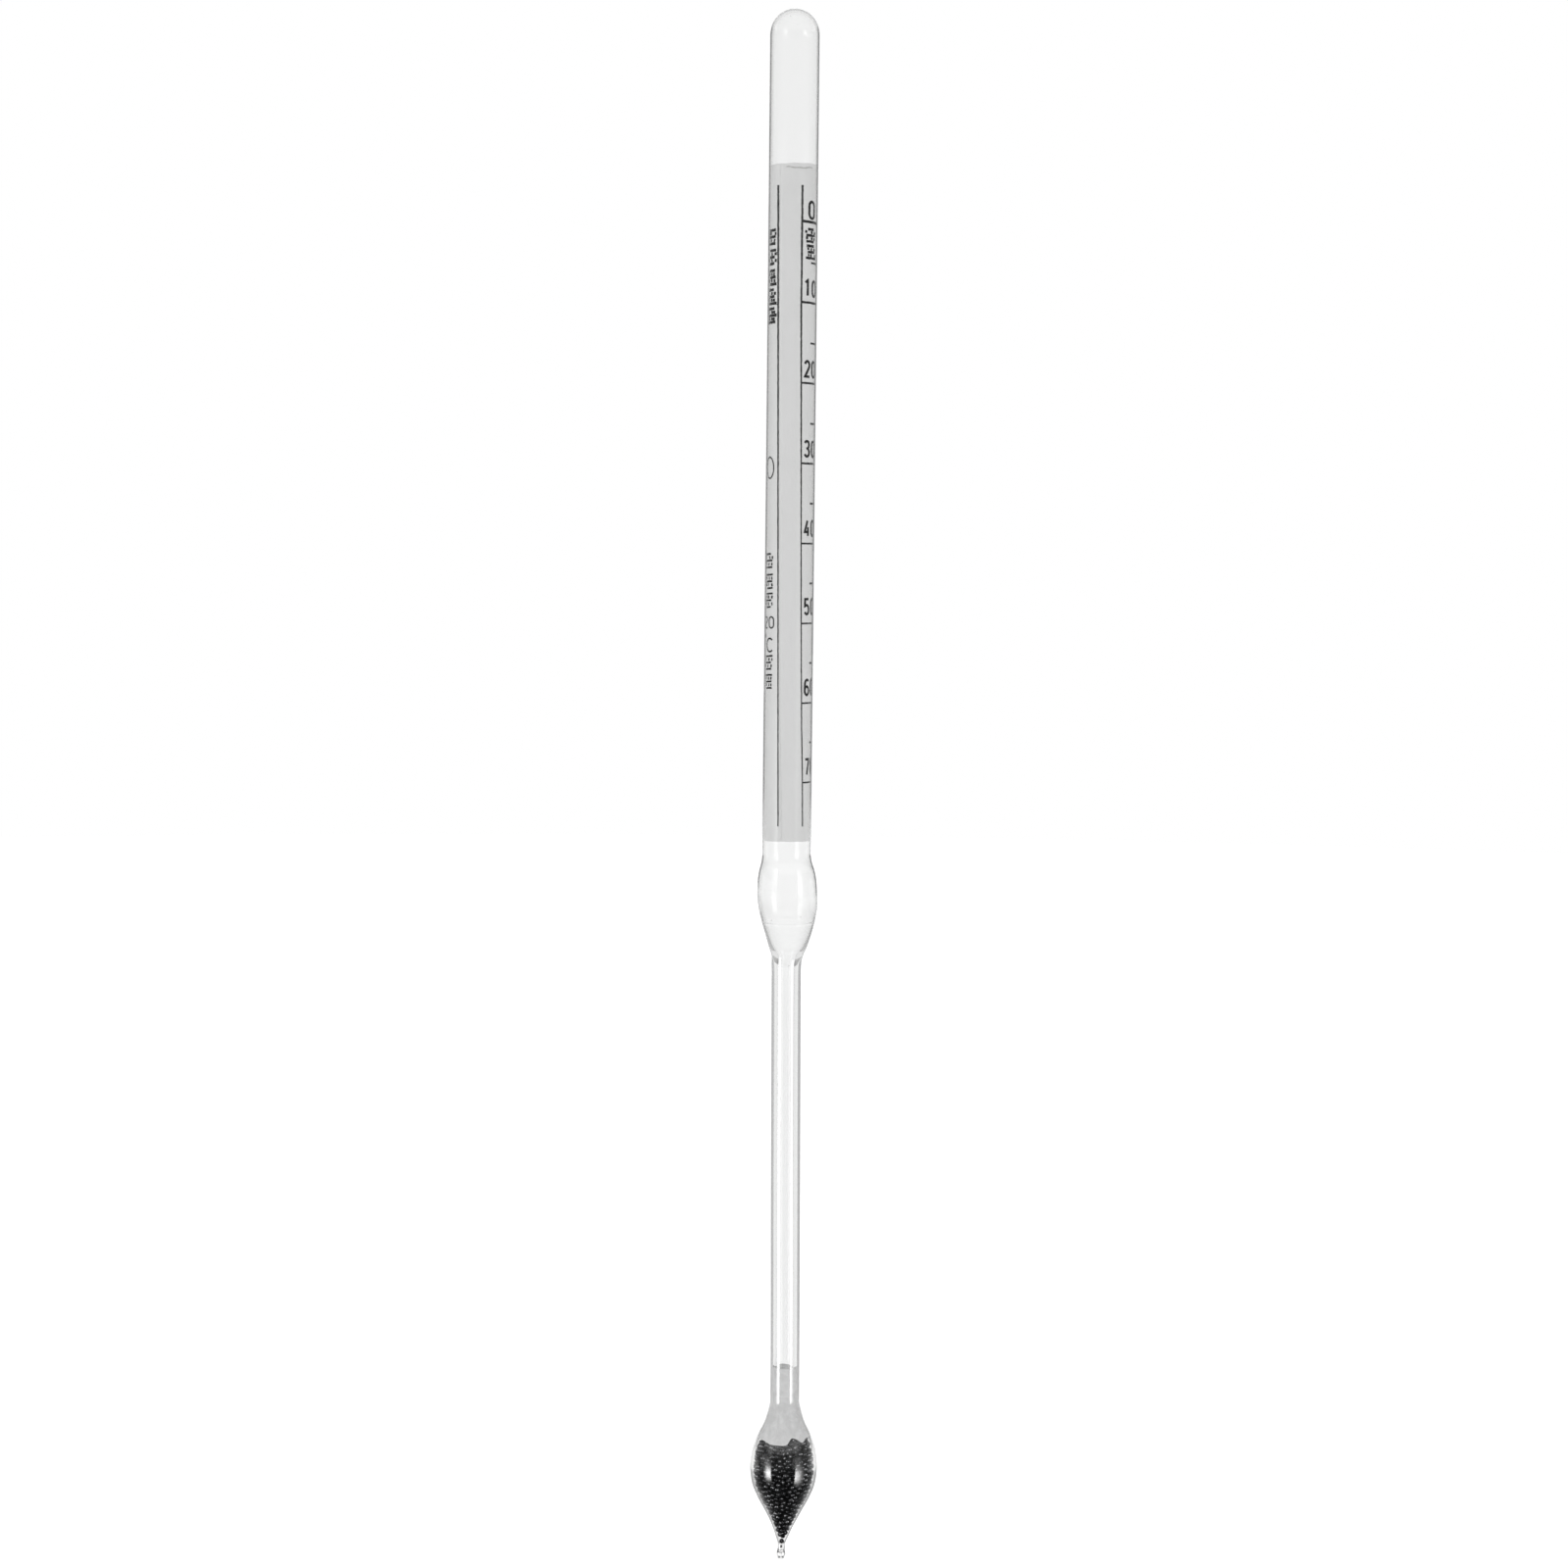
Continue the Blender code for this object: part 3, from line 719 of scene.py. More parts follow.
class Print:
    """Ink laid on the roll as thin closed strokes that follow its curve."""

    def __init__(self, seed):
        self.verts, self.faces = [], []
        self.rng = np.random.default_rng(seed)

    def stroke(self, points, width, closed=False, rough=0.05):
        """points are (u degrees, z mm); width in mm."""
        pts = [np.array((u * math.pi / 180 * PAPER_R, z - droop(u, z))) for u, z in points]
        if closed:
            pts.append(pts[0])
        fine = [pts[0]]
        for a, b in zip(pts, pts[1:]):
            n = max(1, int(math.ceil(np.linalg.norm(b - a) / 0.30)))
            fine += [a + (b - a) * (i + 1) / n for i in range(n)]
        if closed:
            fine.pop()
        p = np.array(fine)
        n = len(p)
        step = np.diff(p, axis=0)
        step = step / np.linalg.norm(step, axis=1)[:, None]
        if closed:
            last = p[0] - p[-1]
            step = np.vstack([step, last / np.linalg.norm(last)])
            before = np.roll(step, 1, axis=0)
            after = step
        else:
            before = np.vstack([step[:1], step])
            after = np.vstack([step, step[-1:]])
        mean = before + after
        mean = mean / np.maximum(np.linalg.norm(mean, axis=1), 1e-9)[:, None]
        normal = np.stack([-mean[:, 1], mean[:, 0]], axis=1)
        cosine = np.maximum((mean * before).sum(axis=1), 0.55)
        wide = np.array([width(z) for z in p[:, 1]]) if callable(width) else width
        half = wide / 2 / cosine
        l_half = half * (1 + rough * self.rng.standard_normal(n))
        r_half = half * (1 + rough * self.rng.standard_normal(n))
        left = p + normal * l_half[:, None]
        right = p - normal * r_half[:, None]
        start = len(self.verts)
        for r in (INK_OUT, INK_IN):
            for side in (left, right):
                t = print_angle(side[:, 0] / PAPER_R * 180 / math.pi, side[:, 1])
                self.verts.extend(zip(r * np.cos(t), r * np.sin(t), side[:, 1]))
        lo, ro, li, ri = (start + k * n for k in range(4))
        for i in range(n if closed else n - 1):
            k = (i + 1) % n
            self.faces += [(lo + i, ro + i, ro + k, lo + k), (li + i, li + k, ri + k, ri + i),
                           (lo + i, lo + k, li + k, li + i), (ro + i, ri + i, ri + k, ro + k)]
        if not closed:
            self.faces += [(lo, li, ri, ro), (lo + n - 1, ro + n - 1, ri + n - 1, li + n - 1)]

    def piece(self, name):
        obj = add_mesh(name, self.verts, self.faces, [ink_mat], smooth=False)
        bm = bmesh.new()
        bm.from_mesh(obj.data)
        bmesh.ops.recalc_face_normals(bm, faces=bm.faces)
        bm.to_mesh(obj.data)
        bm.free()
        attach(obj, "root")
        return obj


def arc(cx, cz, rx, rz, start, end, steps=10):
    """Points of an elliptic arc; angles in degrees, 0 to the right, 90 up."""
    return [(cx + rx * math.cos(math.radians(start + (end - start) * i / steps)),
             cz + rz * math.sin(math.radians(start + (end - start) * i / steps)))
            for i in range(steps + 1)]


def digit_paths(d):
    """Centre lines of a plain narrow digit in a box 1 wide and 2 high."""
    w, h = 1.0, 2.0
    if d == "0":
        return [(arc(0.5, 1.45, 0.5, 0.55, 0, 180, 8)
                 + arc(0.5, 0.55, 0.5, 0.55, 180, 360, 8), True)]
    if d == "1":
        return [([(0.02, 1.66), (0.52, 2.0), (0.52, 0.0)], False)]
    if d == "2":
        return [(arc(0.5, 1.48, 0.48, 0.52, 165, -25, 9) + [(0.02, 0.0), (1.0, 0.0)], False)]
    if d == "3":
        return [(arc(0.46, 1.52, 0.48, 0.48, 155, -80, 9)
                 + arc(0.46, 0.52, 0.52, 0.52, 80, -155, 10), False)]
    if d == "4":
        return [([(1.0, 0.52), (0.0, 0.52), (0.62, 2.0)], False),
                ([(0.74, 1.15), (0.74, 0.0)], False)]
    if d == "5":
        return [([(0.95, 2.0), (0.12, 2.0), (0.06, 1.08)]
                 + arc(0.48, 0.62, 0.50, 0.60, 118, -150, 11), False)]
    if d == "6":
        return [(arc(0.56, 1.42, 0.50, 0.58, 40, 165, 6) + [(0.0, 1.0)]
                 + arc(0.50, 0.56, 0.50, 0.56, 180, 520, 14), False)]
    if d == "7":
        return [([(0.0, 2.0), (1.0, 2.0), (0.36, 0.0)], False)]
    return []


DEG = 180 / math.pi / PAPER_R  # print degrees per mm round the roll


def write(ink, text, u, z, width, height, gap, stroke):
    """Writes a number with its left foot at (u, z); sizes in mm."""
    for ch in text:
        for path, closed in digit_paths(ch):
            ink.stroke([(u + x * width * DEG, z + y * height / 2) for x, y in path],
                       stroke, closed, rough=0.03)
        u += (width + gap) * DEG


def bars(ink, u, z, width, height, seed, stroke):
    """A plain filler mark: a stack of bars and dabs in a box, no letter of any script."""
    rng = np.random.default_rng(seed)
    rows = 5
    for i in range(rows):
        y = z - height * (i + 0.5) / rows
        if i % 2 == 0:
            a = rng.uniform(0.0, 0.28)
            b = rng.uniform(0.72, 1.0)
            ink.stroke([(u + a * width * DEG, y - 0.05), (u + b * width * DEG, y + 0.07)],
                       stroke, rough=0.12)
        else:
            for x in (rng.uniform(0.08, 0.26), rng.uniform(0.42, 0.58),
                      rng.uniform(0.74, 0.92)):
                lean_by = rng.uniform(-0.06, 0.06)
                ink.stroke([(u + x * width * DEG, y + height / rows * 0.46),
                            (u + (x + lean_by) * width * DEG, y - height / rows * 0.44)],
                           stroke * rng.uniform(0.75, 1.1), rough=0.12)


def make_print():
    lines = Print(21)

    def left_width(z):
        return float(np.interp(z, [-100.0, -50.0, 0.0], [0.23, 0.25, 0.37]))

    def right_width(z):
        return float(np.interp(z, [-100.0, -45.0, 0.0], [0.23, 0.28, 0.40]))

    lines.stroke([(LEFT_BORDER, LINES_TOP - 0.5), (LEFT_BORDER, LINES_END)], left_width,
                 rough=0.10)
    lines.stroke([(RIGHT_BORDER, LINES_TOP), (RIGHT_BORDER, LINES_END)], right_width,
                 rough=0.10)
    inner = LEFT_BORDER + 112.0
    lines.stroke([(inner, LINES_TOP), (inner, LINES_END)], 0.26, rough=0.09)
    for deg in range(0, 71):
        z = -deg * DECADE / 10
        if deg % 10 == 0:
            thick = float(np.interp(z, [-72.0, -28.0, -14.0, 0.0], [0.29, 0.36, 0.42, 0.50]))
            lines.stroke([(LEFT_BORDER, z), (inner, z)], thick, rough=0.06)
        elif deg % 5 == 0:
            lines.stroke([(LEFT_BORDER + 28.0, z), (inner, z)], 0.36, rough=0.06)
        else:
            lines.stroke([(LEFT_BORDER + 68.0, z), (inner, z)], 0.20, rough=0.05)
    lines.piece("scale_lines")

    numbers = Print(22)
    write(numbers, "0", LEFT_BORDER + 20.5, 0.72, 1.30, 2.95, 0.4, 0.49)
    feet = {1: 1.25, 2: 1.17, 3: 1.25, 4: 1.35, 5: 1.60, 6: 1.43, 7: 1.40}
    for k in range(1, 8):
        write(numbers, f"{k}0", LEFT_BORDER + 10.3, -DECADE * k + feet[k], 1.02, 2.74, 0.68,
              0.46)
    # the reference temperature, on the other column
    u = RIGHT_BORDER - 52.0
    write(numbers, "20", u, -72.25, 1.12, 2.00, 0.56, 0.27)
    numbers.stroke(arc(RIGHT_BORDER - 48.5, -73.70, 0.30 * DEG, 0.30, 0, 330, 10), 0.19,
                   closed=True)
    numbers.stroke(arc(RIGHT_BORDER - 26.0, -75.30, 0.90 * DEG, 1.20, 48, 312, 16), 0.30)
    numbers.piece("scale_numerals")

    marks = Print(23)
    for i, z in enumerate((-0.8, -4.40, -8.0, -11.45, -14.8)):
        bars(marks, RIGHT_BORDER - 43.5, z, 2.85, 3.00, 40 + i, 0.52)
    for i, z in enumerate((-58.7, -62.4, -65.8)):
        bars(marks, RIGHT_BORDER - 48.0, z, 2.50, 3.00, 60 + i, 0.33)
    for i, z in enumerate((-77.0, -80.4)):
        bars(marks, RIGHT_BORDER - 48.0, z, 2.50, 2.90, 70 + i, 0.33)
    for i, z in enumerate((-0.95, -3.90)):
        bars(marks, LEFT_BORDER + 8.5, z, 2.85, 2.70, 80 + i, 0.47)
    # a plain ring where the approval mark would be
    ring = arc(RIGHT_BORDER - 28.0, -43.5, 1.05 * DEG, 1.9, 0, 345, 23)
    marks.stroke(ring, 0.26, closed=True)
    marks.piece("scale_marks")


make_print()


def make_glue():
    """A thin, uneven smear that holds the top of the sheet to the glass."""
    cols, around = 36, 8
    verts, faces = [], []
    mid_r = PAPER_R + 0.028
    for i in range(cols + 1):
        s = i / cols
        a = math.radians(-108.0 + 70.0 * s)
        belly = math.sin(math.pi * (i + 0.6) / (cols + 1.2)) ** 0.6
        half = 0.11 * (0.25 + 0.75 * belly) * (1 + 0.25 * math.sin(9 * s * 3.1))
        mid = PAPER_TOP_Z - 0.62 - 0.09 * math.cos(5 * a) + 0.04 * math.sin(17 * s)
        for k in range(around):
            t = TAU * k / around
            r = mid_r + 0.009 * math.cos(t)
            verts.append((r * math.cos(a), r * math.sin(a), mid + half * math.sin(t)))
    for i in range(cols):
        for k in range(around):
            m = (k + 1) % around
            faces.append((i * around + k, i * around + m, (i + 1) * around + m,
                          (i + 1) * around + k))
    faces.append(tuple(range(around))[::-1])
    faces.append(tuple(cols * around + k for k in range(around)))
    obj = add_mesh("glue_smear", verts, faces, [glue_mat])
    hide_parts("scale_glue")
    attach(obj, "root")


make_glue()


# ---------------------------------------------------------------- resin and shot
def shot_surface():
    """Height of the top of the shot round the wall, over the angle from the front."""
    knots = [(-180, -219.7), (-150, -220.3), (-120, -219.6), (-90, -219.85), (-70, -219.9),
             (-53, -219.8), (-36, -220.17), (-11, -220.25), (3, -220.2), (9, -219.9),
             (14, -219.25), (21, -219.0), (27, -219.15), (34, -219.4), (43, -220.05),
             (50, -219.9), (58, -219.45), (90, -219.45), (115, -220.1), (140, -219.5),
             (160, -219.9), (180, -219.7)]
    x = np.array([k[0] for k in knots], float)
    y = np.array([k[1] for k in knots], float)

    def value(turn):
        turn = (np.asarray(turn) + 180.0) % 360.0 - 180.0
        return np.interp(turn, x, y)

    return value


shot_top = shot_surface()


def make_resin():
    """The plug wets the glass: its skin lies just under the inside of the wall."""
    around = 96
    angles = np.arange(around) * TAU / around
    turn = np.degrees(angles) + 90.0
    wet = 0.012
    rings = []
    edge = BORE_R + wet
    for r, dz in ((0.25, -0.30), (0.65, -0.27), (1.0, -0.20), (1.22, -0.10), (1.36, 0.02)):
        z = RESIN_TOP_Z + dz + 0.05 * np.sin(angles + 1)
        rings.append((np.full(around, r), z))
    rings.append((np.full(around, edge), RESIN_TOP_Z + 0.12 + 0.10 * np.sin(angles - 1.0)))
    low = shot_top(turn)
    top = np.full(around, RESIN_TOP_Z - 0.4)
    steps = 60
    for i in range(steps + 1):
        z = top + (low + 0.25 - top) * (i / steps)
        r = inner_r(z) + wet + np.array([float(inner_shift(a, zz)) for a, zz in zip(angles, z)])
        rings.append((r, z))
    # the rounded lower edge, lapping over the topmost balls
    for dr, dz in ((0.0, 0.10), (-0.02, 0.03), (-0.10, -0.02), (-0.35, 0.02), (-0.9, 0.25)):
        z = low + dz
        rings.append((inner_r(z) + wet + dr, z))
    rings.append((inner_r(low) * 0.45, low * 0.3 + (-219.9) * 0.7 + 0.5))
    verts = [(float(lean(RESIN_TOP_Z)), 0.0, RESIN_TOP_Z - 0.31)]
    for r, z in rings:
        lx = lean(z)
        verts.extend(zip(r * np.cos(angles) + lx, r * np.sin(angles), z))
    verts.append((float(lean(-219.3)), 0.0, -219.3))
    faces = grid_faces(len(rings), around, 1)
    last = len(verts) - 1
    for j in range(around):
        k = (j + 1) % around
        faces.append((0, 1 + j, 1 + k))
        faces.append((last, last - around + k, last - around + j))
    obj = add_mesh("resin_fill", verts, faces, [resin_mat])
    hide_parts("resin_plug")
    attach(obj, "root")


make_resin()

single_balls = sorted(n for n in frame["nodes"] if n.startswith("shot_") and n[5:].isdigit())


def settle():
    """Pours the balls: each takes the lowest free place over the wall, the thirty
    single balls of the frame and those already poured."""
    reach = SHOT_R + 0.012
    step = 0.05
    axis = np.arange(-5.7, 5.7001, step)
    gx, gy = (g.ravel() for g in np.meshgrid(axis, axis))
    rho = np.hypot(gx, gy)
    wall_z = np.linspace(CAVITY_END_Z, -214.0, 1400)
    wall_r = inner_r(wall_z)
    table = np.linspace(0.0, 6.2, 621)
    floor = np.full(len(table), CAVITY_END_Z + reach)
    widest = wall_z[int(np.argmax(wall_r))]
    for r, z in zip(wall_r, wall_z):
        if z > widest:
            break
        near = np.abs(table - r) < reach
        lift = z + np.sqrt(np.maximum(reach**2 - (table[near] - r) ** 2, 0.0))
        floor[near] = np.maximum(floor[near], lift)
        floor[table > r] = np.maximum(floor[table > r], z + reach)
    ceiling = np.full(len(table), -214.0)
    for r, z in zip(wall_r[::-1], wall_z[::-1]):
        if z < widest:
            break
        near = np.abs(table - r) < reach
        drop = z - np.sqrt(np.maximum(reach**2 - (table[near] - r) ** 2, 0.0))
        ceiling[near] = np.minimum(ceiling[near], drop)
        ceiling[table > r] = np.minimum(ceiling[table > r], z - reach)
    height = np.interp(rho, table, floor)
    roof = np.interp(rho, table, ceiling)
    uneven = np.random.default_rng(19).uniform(0.0, 0.07, len(height))
    apart = 2 * SHOT_R + 0.004

    def put(x, y, z):
        near = np.hypot(gx - x, gy - y)
        close = near < apart
        lift = z + np.sqrt(np.maximum(apart**2 - near[close] ** 2, 0.0))
        height[close] = np.maximum(height[close], lift)

    for name in single_balls:
        lo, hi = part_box(name)
        c = (lo + hi) / 2 / MM
        put(c[0] - float(lean(c[2])), c[1], c[2])
    turn = np.degrees(np.arctan2(gy, gx)) + 90.0
    level = shot_top(turn) - SHOT_R * 0.75
    level = np.where(rho > 3.0, level, level * 0.5 + (-220.1) * 0.5)
    found = []
    shut = height > roof
    while len(found) < 3000:
        cost = np.where(shut | (height > np.minimum(roof, level)), 1e3, height + uneven)
        k = int(np.argmin(cost))
        if cost[k] > 500:
            break
        c = (float(gx[k]), float(gy[k]), float(height[k]))
        found.append(c)
        put(*c)
    return found


def ball_mesh(level):
    bm = bmesh.new()
    bmesh.ops.create_icosphere(bm, subdivisions=level, radius=1.0)
    v = np.array([tuple(x.co) for x in bm.verts])
    f = [tuple(x.index for x in face.verts) for face in bm.faces]
    bm.free()
    return v, f


def make_shot():
    centres = settle()
    near_mesh, far_mesh = ball_mesh(2), ball_mesh(1)
    rng = np.random.default_rng(31)
    bands = {"shot_lower": (-300, -230.0), "shot_middle": (-230.0, -225.0),
             "shot_upper": (-225.0, 0)}
    owners = {"shot_lower": [], "shot_middle": [], "shot_upper": ["shot_charge"]}
    for name, (a, b) in bands.items():
        verts, faces = [], []
        start = 0
        for x, y, z in centres:
            if not a <= z < b:
                continue
            wall = float(inner_r(z)) - math.hypot(x, y)
            v, f = near_mesh if wall < 1.6 or z > -221.8 else far_mesh
            turn = Matrix.Rotation(rng.uniform(0, TAU), 3, Vector(rng.normal(size=3)))
            size = SHOT_R * (1 + rng.uniform(-0.02, 0.004))
            p = v @ np.array(turn).T * size + np.array((x + float(lean(z)), y, z))
            verts.append(p)
            faces += [tuple(start + i for i in face) for face in f]
            start += len(v)
        obj = add_mesh(name, np.concatenate(verts), faces, [shot_mat])
        if owners[name]:
            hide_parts(*owners[name])
        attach(obj, "root")
    return len(centres)


count = make_shot()
print("balls poured", count)
for name in single_balls:
    o = frame["nodes"][name]
    for s in o.material_slots:
        s.material = shot_mat

# ---------------------------------------------------------------- the surroundings
world = bpy.data.worlds.new("studio")
scene.world = world
world.use_nodes = True
world.cycles.sampling_method = "NONE"
nt = world.node_tree
nt.nodes.clear()
wout = nt.nodes.new("ShaderNodeOutputWorld")
tc = node(nt, "ShaderNodeTexCoord")
sep = node(nt, "ShaderNodeSeparateXYZ", {0: tc.outputs["Generated"]})
wx, wy, wz = (sep.outputs[i] for i in range(3))
back_y = math_node(nt, "MULTIPLY", wy, -1.0)
az = math_node(nt, "ARCTAN2", wx, back_y)  # 0 towards the camera's side, + to +X
az01 = math_node(nt, "MULTIPLY_ADD", az, 1 / TAU, 0.5)
el01 = math_node(nt, "MULTIPLY_ADD", wz, 0.5, 0.5)


def at(angle):
    return 0.5 + angle / 360.0


# what polished glass reflects: a white room behind and beside it, dark towards the
# camera's side. Four bands by height, from the floor up to the ceiling.
low_band = ramp(nt, az01, [
    (at(-180), 0.34), (at(-144), 0.38), (at(-137), 0.80), (at(-124), 0.80), (at(-112), 0.22),
    (at(-84), 0.06), (at(-43), 0.02), (at(38), 0.02), (at(84), 0.06), (at(112), 0.22),
    (at(124), 0.80), (at(137), 0.80), (at(144), 0.38), (at(180), 0.34)])
low_inside = ramp(nt, az01, [
    (at(-180), 0.45), (at(-150), 0.48), (at(-130), 0.38), (at(-112), 0.18), (at(-84), 0.05),
    (at(-43), 0.02), (at(38), 0.02), (at(84), 0.05), (at(112), 0.18), (at(130), 0.38),
    (at(150), 0.48), (at(180), 0.45)])
neck_band = ramp(nt, az01, [
    (at(-180), 0.95), (at(-150), 0.90), (at(-115), 0.80), (at(-100), 0.34), (at(-84), 0.12),
    (at(-43), 0.08), (at(38), 0.08), (at(84), 0.12), (at(100), 0.32), (at(112), 0.80),
    (at(180), 0.95)])
stem_band = ramp(nt, az01, [
    (at(-180), 0.38), (at(-150), 0.38), (at(-138), 0.60), (at(-126), 0.40), (at(-106), 0.30),
    (at(-89), 0.35), (at(-85), 0.60), (at(-56), 0.75), (at(-52), 0.14), (at(20), 0.14),
    (at(30), 0.18), (at(34), 0.55), (at(60), 0.55), (at(64), 0.25), (at(100), 0.30),
    (at(112), 0.45), (at(124), 0.60), (at(134), 0.40), (at(180), 0.38)])
high_band = ramp(nt, az01, [
    (at(-180), 0.36), (at(-150), 0.36), (at(-138), 0.70), (at(-126), 0.45), (at(-98), 0.30),
    (at(-20), 0.20), (at(20), 0.20), (at(44), 0.30), (at(64), 0.25), (at(100), 0.35),
    (at(112), 0.60), (at(124), 0.80), (at(134), 0.42), (at(180), 0.40)])
# two soft boxes either side of the camera: crisp inner edges, soft outer ones
box_left = ramp(nt, az01, [
    (at(-76), 0.0), (at(-72), 0.06), (at(-68), 0.17), (at(-64), 0.45), (at(-60), 0.82),
    (at(-53), 1.0), (at(-46), 0.97), (at(-43.5), 0.0)])
box_right = ramp(nt, az01, [
    (at(39.5), 0.0), (at(42.5), 1.0), (at(46), 0.97), (at(52), 0.76), (at(59.4), 0.48),
    (at(67.3), 0.16), (at(75.7), 0.04), (at(82), 0.0)])


def sin01(angle):
    return 0.5 + 0.5 * math.sin(math.radians(angle))


def mixed(nt, factor, low, high):
    n = node(nt, "ShaderNodeMix", {0: factor}, data_type="FLOAT")
    for i, v in ((2, low), (3, high)):
        if isinstance(v, bpy.types.NodeSocket):
            nt.links.new(v, n.inputs[i])
        else:
            n.inputs[i].default_value = v
    return n.outputs[0]


def between(a, b):
    return ramp(nt, el01, [(sin01(a), 0.0), (sin01(b), 1.0)])


tall_left = ramp(nt, el01, [
    (sin01(-32), 0.0), (sin01(-28.4), 0.03), (sin01(-24.4), 0.28), (sin01(-19), 0.80),
    (sin01(-13), 1.0), (sin01(-8), 0.90), (sin01(-4.2), 0.34), (sin01(-1.5), 0.13),
    (sin01(0.5), 0.05), (sin01(3), 0.02), (sin01(7), 0.0), (sin01(9.5), 0.03),
    (sin01(13), 0.04), (sin01(20), 0.04), (sin01(26), 0.05), (sin01(40), 0.0)])
tall_right = ramp(nt, el01, [
    (sin01(-33), 0.0), (sin01(-30.5), 0.06), (sin01(-27.8), 0.50), (sin01(-23.7), 0.95),
    (sin01(-18), 1.0), (sin01(-12.2), 0.85), (sin01(-7.7), 0.45), (sin01(-4.2), 0.20),
    (sin01(-1.5), 0.08), (sin01(1), 0.03), (sin01(7), 0.0), (sin01(9.5), 0.02),
    (sin01(13), 0.03), (sin01(24), 0.05), (sin01(40), 0.0)])


def by_height(lowest):
    value = mixed(nt, between(-14.5, -13.2), lowest, neck_band)
    value = mixed(nt, between(-4.7, -4.0), value, stem_band)
    value = mixed(nt, between(5.9, 6.4), value, high_band)
    return mixed(nt, between(14, 21), value, 0.92)


left_light = math_node(nt, "MULTIPLY", box_left, tall_left)
right_light = math_node(nt, "MULTIPLY", box_right, tall_right)
box_light = math_node(nt, "MULTIPLY_ADD", right_light, 18.0,
                      math_node(nt, "MULTIPLY", left_light, 22.0))
outside = math_node(nt, "ADD", box_light, by_height(low_band))
outside = math_node(nt, "MULTIPLY", outside, 1.0 / SHEEN)
inside = math_node(nt, "MULTIPLY_ADD", box_light, 0.12, by_height(low_inside))
# what is seen through the glass: a white room whose panels leave slightly darker gaps,
# dimmer towards its floor and its ceiling
eight = math_node(nt, "COSINE", math_node(nt, "MULTIPLY", az, 8.0))
even_room = math_node(nt, "MULTIPLY_ADD", eight, 0.03, 0.97)
gap = ramp(nt, az01, [
    (at(-180), 1.0), (at(-150), 1.0), (at(-139), 0.58), (at(-106), 0.42), (at(-90), 0.45),
    (at(-45), 0.30), (at(45), 0.30), (at(90), 0.45), (at(108), 0.50), (at(139), 0.62),
    (at(150), 1.0), (at(180), 1.0)])
height = ramp(nt, el01, [
    (sin01(-90), 0.25), (sin01(-56), 0.32), (sin01(-42), 0.85), (sin01(-30), 1.0),
    (sin01(-7.6), 1.0), (sin01(-6.4), 1.06), (sin01(-4.4), 1.06), (sin01(-3.2), 1.0),
    (sin01(34), 1.0), (sin01(50), 0.90), (sin01(66), 0.60), (sin01(90), 0.50)])
through = math_node(nt, "MULTIPLY", even_room, math_node(nt, "MULTIPLY", gap, height))
# what matt surfaces gather: a very even room, a little dimmer at its sides
even = math_node(nt, "MULTIPLY_ADD", math_node(nt, "MAXIMUM", wx, 0.0), -0.24, 0.925)
even = math_node(nt, "MULTIPLY_ADD", math_node(nt, "MINIMUM", wx, 0.0), 0.10, even)

lp = node(nt, "ShaderNodeLightPath")
mirrored = math_node(nt, "GREATER_THAN", lp.outputs["Glossy Depth"], 0.5)
seen = mixed(nt, mirrored, through, inside)
level = mixed(nt, lp.outputs["Is Diffuse Ray"], outside, even)
level = mixed(nt, lp.outputs["Is Transmission Ray"], level, seen)
level = mixed(nt, lp.outputs["Is Camera Ray"], level, 1.0)
bg = node(nt, "ShaderNodeBackground", {"Color": (1, 1, 1, 1), "Strength": level})
nt.links.new(bg.outputs[0], wout.inputs["Surface"])

# four small soft lamps round it at the height of the camera, for the shot alone
shot_set = bpy.data.collections.new("shot_lit")
for o in list(bpy.data.objects):
    if o.name in ("shot_lower", "shot_middle", "shot_upper") or o.name in {
            frame["nodes"][n].name for n in single_balls}:
        shot_set.objects.link(o)
for k in range(4):
    lamp_data = bpy.data.lights.new(f"shot_lamp_{k}", "SUN")
    lamp_data.energy = 5.6
    lamp_data.angle = math.radians(9.0)
    lamp = bpy.data.objects.new(f"shot_lamp_{k}", lamp_data)
    scene.collection.objects.link(lamp)
    lamp.matrix_world = (Matrix.Rotation(math.radians(90.0 * k), 4, "Z")
                         @ Matrix.Rotation(math.radians(74.0), 4, "X"))
    lamp.light_linking.receiver_collection = shot_set

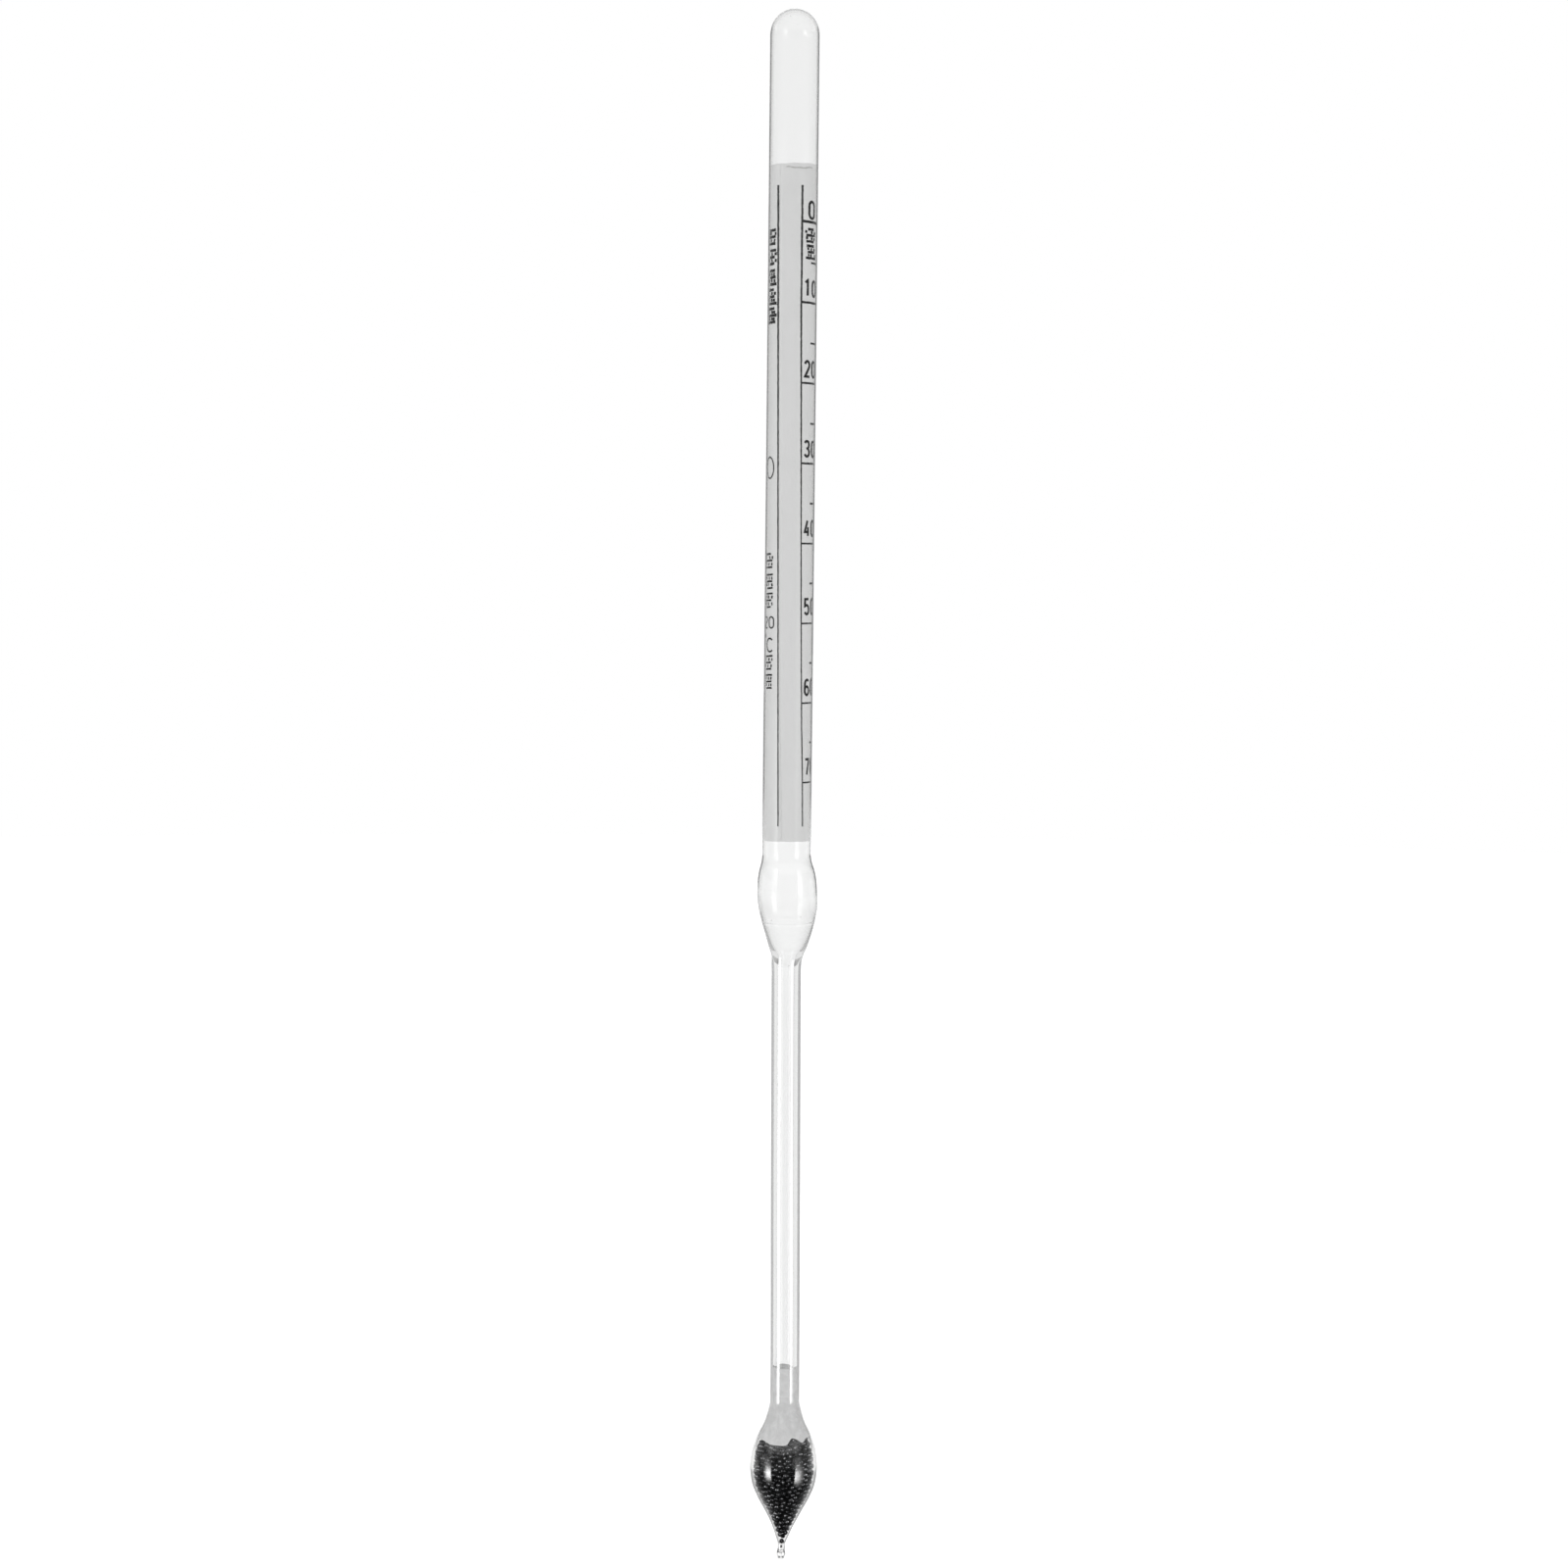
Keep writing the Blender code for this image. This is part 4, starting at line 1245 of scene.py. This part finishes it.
# the floor, just under the tip
floor_mat, nt, out = new_material("pale_floor")
noise = node(nt, "ShaderNodeTexNoise", {"Vector": object_coords(nt), "Scale": 0.05})
col = ramp(nt, noise.outputs["Fac"], [(0.3, (0.90, 0.90, 0.90)), (0.7, (0.93, 0.93, 0.93))])
diff = node(nt, "ShaderNodeBsdfDiffuse", {"Color": col})
glow = node(nt, "ShaderNodeEmission", {"Color": (1, 1, 1, 1), "Strength": 0.40})
add = node(nt, "ShaderNodeAddShader", {0: diff.outputs[0], 1: glow.outputs[0]})
nt.links.new(add.outputs[0], out.inputs["Surface"])
FLOOR_Z = END_Z - 0.05
bm = bmesh.new()
radii = [0.0, 0.01, 0.02, 0.04, 0.08, 0.16, 0.35, 0.8, 1.6]
rings = []
for r in radii[1:]:
    rings.append([bm.verts.new((r * math.cos(TAU * i / 64), r * math.sin(TAU * i / 64),
                                FLOOR_Z * MM)) for i in range(64)])
centre = bm.verts.new((0, 0, FLOOR_Z * MM))
for i in range(64):
    bm.faces.new((centre, rings[0][i], rings[0][(i + 1) % 64]))
for a, b in zip(rings, rings[1:]):
    for i in range(64):
        bm.faces.new((a[i], b[i], b[(i + 1) % 64], a[(i + 1) % 64]))
mesh = bpy.data.meshes.new("studio_floor")
bm.to_mesh(mesh)
bm.free()
mesh.materials.append(floor_mat)
floor = bpy.data.objects.new("studio_floor", mesh)
scene.collection.objects.link(floor)
floor.visible_glossy = False
floor.visible_transmission = False

# ---------------------------------------------------------------- camera
cam_data = bpy.data.cameras.new("camera")
cam_data.sensor_width = 36.0
cam_data.lens = 81.42
cam_data.clip_start, cam_data.clip_end = 0.01, 20.0
cam = bpy.data.objects.new("camera", cam_data)
scene.collection.objects.link(cam)
cam.matrix_world = (Matrix.Translation((-0.00058, -0.63756, -0.05684))
                    @ Matrix.Rotation(math.radians(86.1), 4, "X")
                    @ Matrix.Rotation(math.radians(0.592), 4, "Z"))
scene.camera = cam
scene.view_settings.view_transform = "Standard"
scene.cycles.transparent_max_bounces = 32
scene.cycles.max_bounces = 40
scene.cycles.transmission_bounces = 32
scene.cycles.glossy_bounces = 28

bpy.context.view_layer.update()
